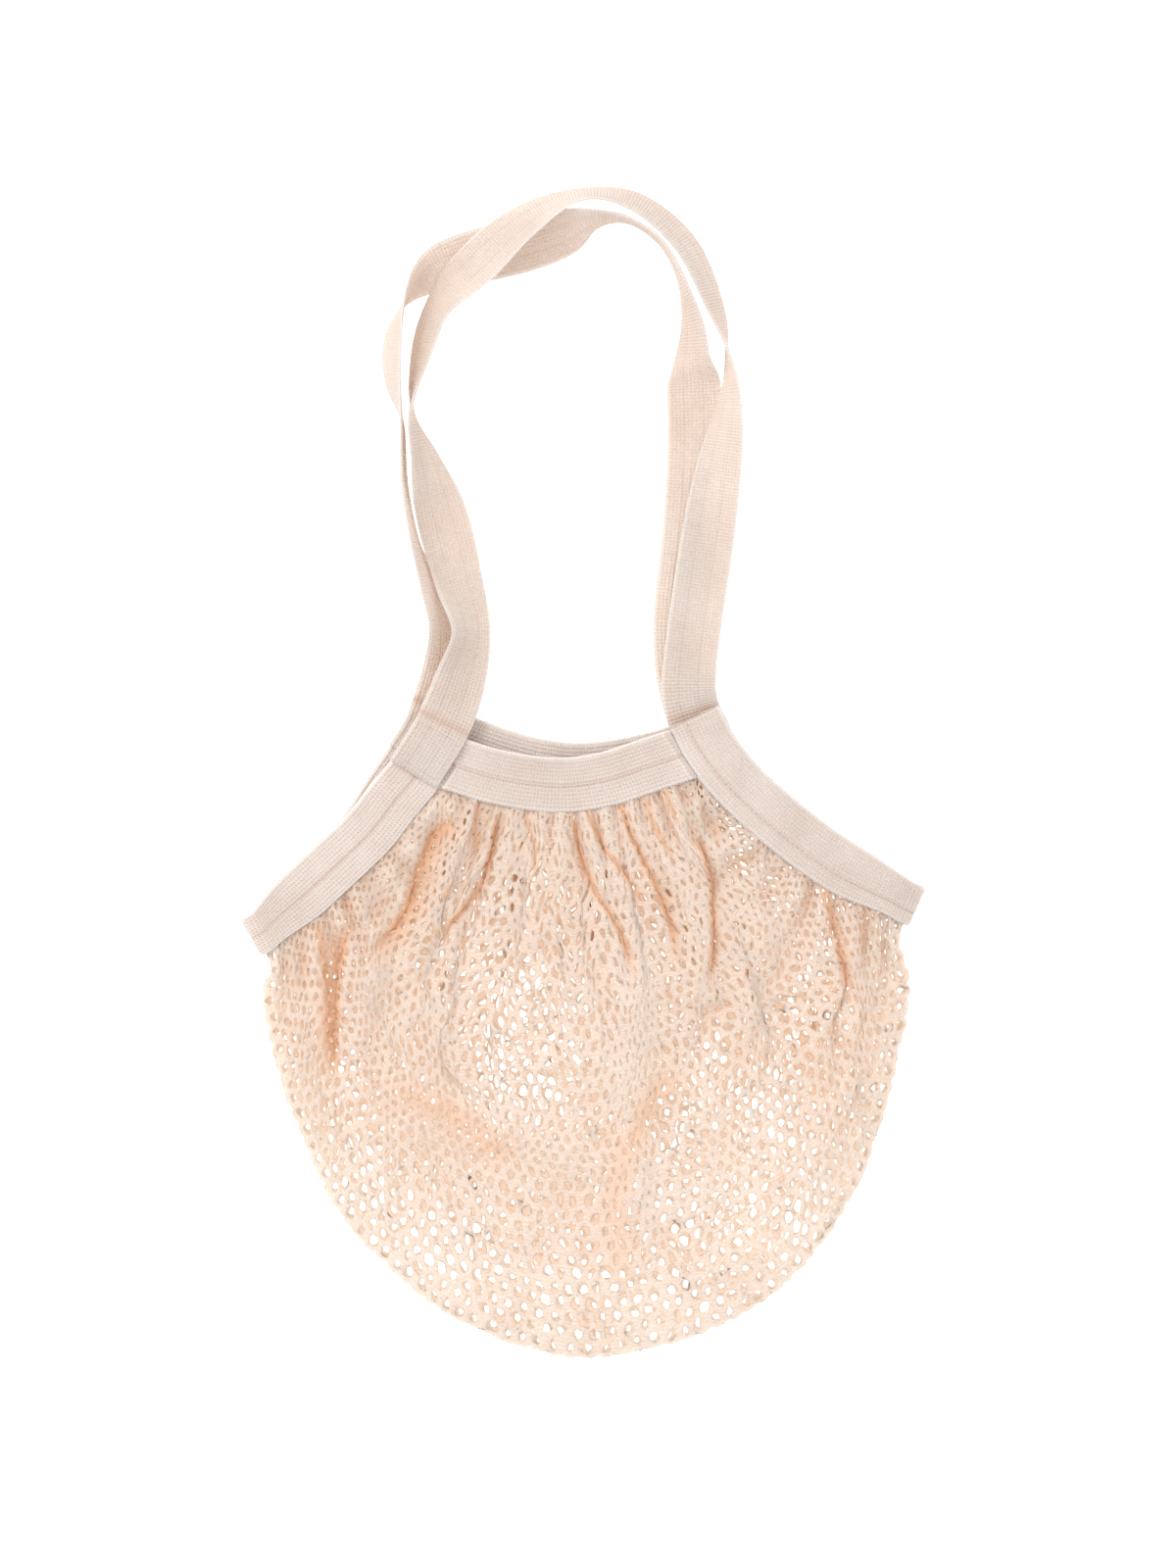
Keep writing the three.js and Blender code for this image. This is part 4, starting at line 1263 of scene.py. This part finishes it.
def side_binding_parts(side):
    front, back = side_line(side, "front"), side_line(side, "back")
    middles, inwards, uppers, net_sides = [], [], [], []

    def add_run(line, shares, level, upward):
        for share in shares:
            middles.append(np.append(line.at(share), level))
            inwards.append(np.append(inward_from(line, share, side), 0.0))
            uppers.append(np.array([0.0, 0.0, upward]))
            net_sides.append(TAPE_WIDTH / 2 - POINT_NARROWING * smooth(share, POINT_FROM, 1))

    steps = int(front.length / TAPE_STEP)
    add_run(front, np.arange(steps) / steps, FRONT_LEVEL, 1.0)
    inward = inward_from(front, 1.0, side)
    out = np.append(left_of(inward) * -HAND[side], 0.0)
    end = np.append(front.at(1.0), FOLD_HEIGHT)
    for angle in TURN_ANGLES:
        away = out * math.sin(angle) + np.array([0, 0, math.cos(angle)])
        middles.append(end + away * FOLD_RADIUS)
        inwards.append(np.append(inward, 0.0))
        uppers.append(away)
        net_sides.append(TAPE_WIDTH / 2 - POINT_NARROWING)
    steps = int(back.length / TAPE_STEP)
    add_run(back, np.arange(steps - 1, -1, -1) / steps, BACK_LEVEL, -1.0)
    return binding_parts(np.array(middles), np.array(inwards), np.array(uppers), net_sides, SIDE_SEAM[side])


# Materials

WHITE = (1.0, 1.0, 1.0, 1.0)
# Noises: scale and detail
TAPE_FUZZ = (1000.0, 3.0)
TAPE_PATCHES = (34.0, 3.0)
YARN_FUZZ = (750.0, 4.0)
YARN_DRIFT = (280.0, 1.0)
YARN_PATCHES = (26.0, 2.0)
TABLE_GRAIN = (60.0, 2.0)
# Bumps: strength, and depth in metres
TAPE_BUMP = (0.8, 0.0005)
YARN_BUMP = (0.5, 0.0006)
# Lean of the stitches of a tape beside its ribs, and the fuzz in its bump
STITCH_LEAN = 2.2
TAPE_FUZZ_BUMP = 0.8
# Tone of the tape between dark and pale: shares of the knit, the patches and the fuzz, and what is taken off
TAPE_TONE = (0.3, 1.1, 0.9, 0.5)
# Strength of the painted highlight along the edges of a tape
EDGE_HIGHLIGHT = 0.75
# Loops of the yarn: how far they drift and how strong they are
LOOP_DRIFT = 12.0
LOOP_STRENGTH = 0.3
# Tone of the yarn between furrow and pale: shares of the patches and the fuzz, and what is taken off
YARN_TONE = (0.5, 2.6, 1.05)
# How far the colours of painted warm shade cover the yarn: on faces into the bag and in deep places
INSIDE_SHADE_SHARE = 0.85
DEEP_SHADE_SHARE = 0.9
# Cotton: dull and slightly furry
COTTON = {"Roughness": 0.95, "Sheen Weight": 0.3, "Sheen Roughness": 0.6, "Specular IOR Level": 0.15}
# White table that also shines a little by itself
TABLE = {"Roughness": 0.9, "Specular IOR Level": 0.1, "Emission Color": WHITE, "Emission Strength": 0.85}
TABLE_COLOURS = ((0.93, 0.93, 0.93, 1.0), (0.97, 0.97, 0.97, 1.0))


class Amount:
    """A number that changes over a surface, worked out by maths nodes."""

    def __init__(self, tree, socket):
        self.tree = tree
        self.socket = socket

    def maths(self, operation, other=0.0):
        node = add_node(self.tree, "ShaderNodeMath", {0: self, 1: other}, operation=operation)
        return Amount(self.tree, node.outputs[0])

    def clamped(self):
        return Amount(self.tree, add_node(self.tree, "ShaderNodeClamp", {0: self}).outputs[0])

    def __add__(self, other):
        return self.maths("ADD", other)

    def __sub__(self, other):
        return self.maths("SUBTRACT", other)

    def __mul__(self, other):
        return self.maths("MULTIPLY", other)


def material_tree(name, settings):
    """A new material, its nodes and its shader with plain settings."""
    material = bpy.data.materials.new(name)
    material.use_nodes = True
    tree = material.node_tree
    shader = tree.nodes["Principled BSDF"]
    for key, value in settings.items():
        shader.inputs[key].default_value = value
    return material, tree, shader


def add_node(tree, kind, inputs=(), **settings):
    """A new node; its inputs are plain values, sockets or amounts."""
    node = tree.nodes.new(kind)
    for key, value in settings.items():
        setattr(node, key, value)
    for key, value in dict(inputs).items():
        if isinstance(value, Amount):
            value = value.socket
        if isinstance(value, bpy.types.NodeSocket):
            tree.links.new(value, node.inputs[key])
        else:
            node.inputs[key].default_value = value
    return node


def blend_colours(tree, share, first, second):
    return add_node(tree, "ShaderNodeMix", {0: share, 6: first, 7: second}, data_type="RGBA").outputs[2]


def attribute(tree, name):
    return Amount(tree, add_node(tree, "ShaderNodeAttribute", attribute_name=name).outputs["Fac"])


def noise(tree, scale, detail):
    place = add_node(tree, "ShaderNodeTexCoord").outputs["Object"]
    inputs = {"Vector": place, "Scale": scale, "Detail": detail}
    return Amount(tree, add_node(tree, "ShaderNodeTexNoise", inputs).outputs[0])


def linear(red, green, blue):
    """Scene colour of a screen colour given as 0 to 255."""
    return tuple(
        value / 255 / 12.92 if value <= 10 else ((value / 255 + 0.055) / 1.055) ** 2.4
        for value in (red, green, blue)
    ) + (1.0,)


def tape_material(name, pale, dark, seam, through, passing):
    """Knitted cotton tape: stitches in columns along the tape, soft changes of tone, a painted highlight on
    its edges and painted shade at seams, laps and the slot.
    """
    material, tree, shader = material_tree(name, COTTON)
    across, along, shade = (attribute(tree, key) for key in ("across", "along", "shade"))
    column = across * (math.tau / RIB_PITCH)
    lean = (column * 0.5).maths("SINE").maths("ABSOLUTE")
    stitch = (along * (math.tau / STITCH_PITCH) + lean * STITCH_LEAN).maths("SINE")
    knit = column.maths("COSINE") * 0.5 + stitch * 0.5
    fuzz, patches = noise(tree, *TAPE_FUZZ), noise(tree, *TAPE_PATCHES)
    tone = knit * TAPE_TONE[0] + patches * TAPE_TONE[1] + fuzz * TAPE_TONE[2] - TAPE_TONE[3]
    colour = blend_colours(tree, tone.clamped(), dark, pale)
    # Painted highlight along the edges of the tape
    rim = (across.maths("ABSOLUTE") - (TAPE_WIDTH / 2 - HIGHLIGHT_EDGE_WIDTH)) * (EDGE_HIGHLIGHT / HIGHLIGHT_EDGE_WIDTH)
    colour = blend_colours(tree, rim.clamped(), colour, WHITE)
    # Painted shade along seams, across laps and in the slot, and the darker thread of stitches, in the seam
    # colour
    colour = blend_colours(tree, shade * patches, colour, seam)
    finish_cotton(tree, shader, colour, knit + fuzz * TAPE_FUZZ_BUMP, TAPE_BUMP, through, passing)
    return material


def net_material(name, pale, furrow, inner, deep, through, passing):
    """Soft cotton yarn in small loops, with painted warm shade on faces into the bag and in the folds."""
    material, tree, shader = material_tree(name, COTTON)
    inside_shade, along, shade = (attribute(tree, key) for key in ("inside_shade", "along", "shade"))
    fuzz, drift, patches = (noise(tree, *sizes) for sizes in (YARN_FUZZ, YARN_DRIFT, YARN_PATCHES))
    loops = (along * (math.tau / LOOP_PITCH) + drift * LOOP_DRIFT).maths("SINE") * LOOP_STRENGTH
    tone = patches * YARN_TONE[0] + fuzz * YARN_TONE[1] + loops - YARN_TONE[2]
    colour = blend_colours(tree, tone.clamped(), furrow, pale)
    # Painted warm shade: the inner colour on faces into the bag, the deep colour in valleys, creases and
    # pleats
    colour = blend_colours(tree, inside_shade * INSIDE_SHADE_SHARE, colour, inner)
    colour = blend_colours(tree, shade * DEEP_SHADE_SHARE, colour, deep)
    finish_cotton(tree, shader, colour, fuzz + loops, YARN_BUMP, through, passing)
    return material


def finish_cotton(tree, shader, colour, height, bump, through, passing):
    """Colour and bump of a surface that lets a share of the light pass."""
    tree.links.new(colour, shader.inputs["Base Color"])
    inputs = {"Height": height, "Strength": bump[0], "Distance": bump[1]}
    tree.links.new(add_node(tree, "ShaderNodeBump", inputs).outputs[0], shader.inputs["Normal"])
    glow = add_node(tree, "ShaderNodeBsdfTranslucent", {"Color": through})
    mixed = add_node(tree, "ShaderNodeMixShader", {0: passing, 1: shader.outputs[0], 2: glow.outputs[0]})
    tree.links.new(mixed.outputs[0], tree.nodes["Material Output"].inputs["Surface"])


def floor_material():
    material, tree, shader = material_tree("white_table", TABLE)
    colour = blend_colours(tree, noise(tree, *TABLE_GRAIN), *TABLE_COLOURS)
    tree.links.new(colour, shader.inputs["Base Color"])
    return material


# Stage: white table, soft light from above, camera straight over the bag; lengths here are metres

FLOOR_SIZE = 6.0
FLOOR_DROP = 0.0003
ROOM_COLOUR = (1.0, 0.985, 0.97, 1.0)
ROOM_STRENGTH = 1.05
LAMP_SIZE = 1.6
LAMP_ENERGY = 18.0
LAMP_COLOUR = (1.0, 0.98, 0.95)
LAMP_PLACE = (-1.1, 0.9, 1.7)
LAMP_TARGET = (0.0, -0.05, 0.0)
LENS = 180.0
SENSOR = 36.0
FAR_CLIP = 100.0
# Height and centre of the photograph's frame on the table
FRAME_HEIGHT = 0.8
FRAME_CENTRE = (0.00275, -0.00575)
AIM_HEIGHT = 0.012


def make_stage():
    scene = bpy.context.scene
    bpy.ops.mesh.primitive_grid_add(
        x_subdivisions=4, y_subdivisions=4, size=FLOOR_SIZE, location=(0, 0, -FLOOR_DROP),
    )
    floor = bpy.context.object
    floor.name = "table"
    floor.data.materials.append(floor_material())

    world = bpy.data.worlds.new("soft_room")
    world.use_nodes = True
    background = world.node_tree.nodes["Background"]
    background.inputs["Color"].default_value = ROOM_COLOUR
    background.inputs["Strength"].default_value = ROOM_STRENGTH
    scene.world = world

    light = bpy.data.lights.new("window", "AREA")
    light.shape = "DISK"
    light.size = LAMP_SIZE
    light.energy = LAMP_ENERGY
    light.color = LAMP_COLOUR
    lamp = bpy.data.objects.new("window", light)
    lamp.location = LAMP_PLACE
    lamp.rotation_euler = turned_to(LAMP_TARGET, LAMP_PLACE)
    scene.collection.objects.link(lamp)

    camera_data = bpy.data.cameras.new("camera")
    camera_data.lens = LENS
    camera_data.sensor_width = SENSOR
    camera_data.clip_end = FAR_CLIP
    camera = bpy.data.objects.new("camera", camera_data)
    camera.location = (*FRAME_CENTRE, AIM_HEIGHT + FRAME_HEIGHT * LENS / SENSOR)
    scene.collection.objects.link(camera)
    scene.camera = camera

    scene.view_settings.view_transform = "Standard"
    scene.view_settings.look = "None"


def turned_to(target, location):
    """Rotation that points a lamp at a target."""
    direction = np.array(target) - np.array(location)
    flat = math.hypot(direction[0], direction[1])
    return (math.atan2(flat, -direction[2]), 0.0, math.atan2(-direction[0], direction[1]))


# The bag

make_stage()

binding_look = tape_material(
    "binding_knit",
    pale=linear(253, 240, 232),
    dark=linear(222, 202, 190),
    # seam is the colour of painted shade at seams, laps and the slot, and of the stitches' thread
    seam=linear(200, 160, 134),
    through=linear(255, 238, 224),
    passing=0.12,
)
strap_look = tape_material(
    "strap_knit",
    pale=linear(250, 243, 237),
    dark=linear(225, 210, 200),
    # seam is the colour of painted shade at seams and laps, and of the stitches' thread
    seam=linear(210, 168, 140),
    through=linear(255, 234, 216),
    passing=0.28,
)
net_look = net_material(
    "net_yarn",
    pale=linear(255, 253, 250),
    furrow=linear(232, 213, 199),
    # inner and deep are colours of painted warm shade: on faces into the bag, and in valleys and creases
    inner=linear(255, 212, 166),
    deep=linear(252, 180, 108),
    through=linear(255, 249, 242),
    passing=0.5,
)


def place(made, node, slot):
    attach(made, "root")
    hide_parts(node)


chance = np.random.default_rng(SEED)
sheet, reach = start_sheet()
sheet = relax(sheet, reach, chance)
centres, shared, rings, warm_shades, inside_shades, runs = net_cells(Sheet(sheet), chance)
is_front = centres[:, 1] <= PANEL_ROWS
# Painted warm shade of the net: the most of the creases and the other warm shade, faded at the outline
crease_shading = crease_marks(rings[..., :2], CREASE_EDGE)[1] * is_front[:, None, None]
shade = np.minimum(np.maximum(warm_shades, crease_shading), 1)
shade = shade * smooth(np.abs(PANEL_ROWS - centres[:, 1]), *SHADE_FADE_ROWS)[:, None, None]

for name, cells in (("net_front", is_front), ("net_back", ~is_front)):
    net = make_object(name, [net_part(cells, shared, rings, shade, inside_shades, runs)], net_look)
    place(net, "net_body", "net")

handles = {
    "handle_front": ("strap_front", strap_parts(FRONT_STRAP, LAP_BOX)),
    "handle_back": ("strap_back", strap_parts(BACK_STRAP, None)),
}
bands = {
    "top_band_front": ("front_binding", top_binding_parts(FRONT_TOP, "front")),
    "top_band_back": ("back_binding", top_binding_parts(BACK_TOP, "back")),
    "side_band_left": ("side_binding_left", side_binding_parts("left")),
    "side_band_right": ("side_binding_right", side_binding_parts("right")),
}
for tapes, slot, look, width, held in (
    (handles, "strap", strap_look, TAPE_WIDTH, "draped"),
    (bands, "binding", binding_look, 2 * TAPE_WIDTH, "folded"),
):
    for name, (node, (parts, length)) in tapes.items():
        tape = make_object(name, parts, look)
        place(tape, node, slot)
        width * MM
        length * MM
